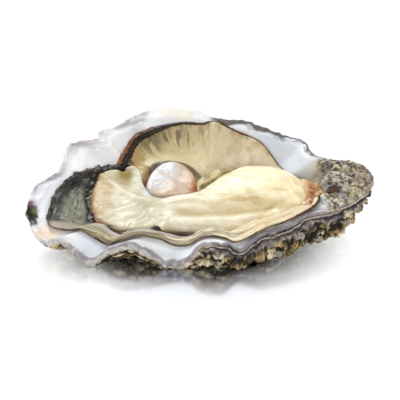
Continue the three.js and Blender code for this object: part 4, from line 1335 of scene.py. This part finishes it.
# %% The ligament
middle, lengths = cad_middle("hinge_ligament")
half_long, half_wide = lengths[0] / 2, lengths[1] / 2
turn = np.linspace(0, 2 * np.pi, 96, endpoint=False)
torn = 1 + 0.28 * rough(column(np.cos(turn) * 2, np.sin(turn) * 2, 0), 3, seed=121)
share = np.concatenate([np.linspace(0.08, 1, 16), [0.9, 0.4]])[:, None]
spring_xy = column(middle[0] - 1.6 + np.cos(turn) * half_long * 0.85 * torn * share,
                   middle[1] + np.sin(turn) * half_wide * 0.8 * torn * share)
spring_height = floor_height(spring_xy) + 0.9 * (1 - drop_from_edge(share, 6))
spring = np.concatenate([spring_xy, spring_height[..., None]], axis=-1)
spring[..., 2] += 0.3 * rough(spring / (2.5, 0.6, 1), 3, seed=122)
spring[16:, :, 2] -= 1.2
spring_colour = coats((124, 76, 46), ((60, 40, 30), 0.5 + rough(spring / (2, 0.5, 1), 3, 123)))
grown("torn_ligament", spring, spring_colour, "hinge_ligament", "ligament", ligament_material,
      comb=spring[..., 1] * 16, combed=1)

# %% [markdown]
# ## Barnacles
# Acorn barnacles sit in the crust. Each is a little volcano of ribbed plates with a dark crater. They stand
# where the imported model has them, turned away from the middle of the shell, and lifted to the crust's own
# surface.

# %% The barnacles
barnacle_material, tree, shader, coords = new_material("barnacle_lime")
lime_tint, lime = mottled(tree, attribute(tree, "tint", "Color"), coords, 1800, 0.7, 1.2, 5)
set_inputs(tree, shader, {"Base Color": lime_tint, "Roughness": 0.8, "Normal": relief(tree, lime, 0.0003)})
PROFILE = np.array([(0.7, -0.6), (1.05, -0.25), (1.0, 0.1), (0.86, 0.4), (0.72, 0.72), (0.6, 0.98),
                    (0.52, 1.04), (0.44, 0.98), (0.4, 0.7), (0.34, 0.42), (0.15, 0.36)])
RIBS, CRATER, SQUAT = 11, 6, 0.65  # number of ribs, the profile's row at the crater, height in radii
radius, rise = PROFILE[:, 0][:, None], PROFILE[:, 1][:, None]
turn = np.linspace(0, 2 * np.pi, 66, endpoint=False)
ribs = np.cos(RIBS * turn)
flat_crust, real_crust = turned.reshape(-1, 3), outside.reshape(-1, 3)
for node in sorted(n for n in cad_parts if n.startswith("barnacle_")):
    foot, lengths = cad_middle(node)
    size = float(np.sort(lengths)[1:].mean()) / 2
    nearest = np.argmin(np.linalg.norm(flat_crust - foot, axis=1))
    axis = foot - core_at(foot[0])
    axis /= np.linalg.norm(axis)
    crust_lift = (real_crust[nearest] - flat_crust[nearest]) @ axis
    foot = flat_crust[nearest] + axis * (max(0.3, crust_lift) - 0.3)
    side = np.cross(axis, (1, 0, 0))
    side /= np.linalg.norm(side)
    other = np.cross(axis, side)
    wobble = 1 + 0.08 * ribs * smooth(0.4, 0.7, radius) + 0.1 * np.cos(2 * turn + 9 * size)
    outwards = side * (radius * wobble * np.cos(turn))[..., None]
    outwards = outwards + other * (radius * wobble * np.sin(turn))[..., None]
    p = foot + size * (outwards + axis * (rise * SQUAT * np.ones_like(turn))[..., None])
    p = above_ground(p + 0.1 * rough(p / 0.8, 2, seed=131)[..., None] * axis)
    inner = np.clip((np.arange(len(PROFILE)) - CRATER) / 2, 0, 1)[:, None]
    cone_colour = coats((196, 186, 160), ((84, 74, 54), 0.5 - 0.6 * ribs * np.ones_like(radius)),
                        ((150, 146, 148), 0.4 + rough(p / 1.2, 2, 132)), ((34, 28, 22), inner))
    grown(node + "_cone", p, cone_colour, node, "barnacle", barnacle_material)
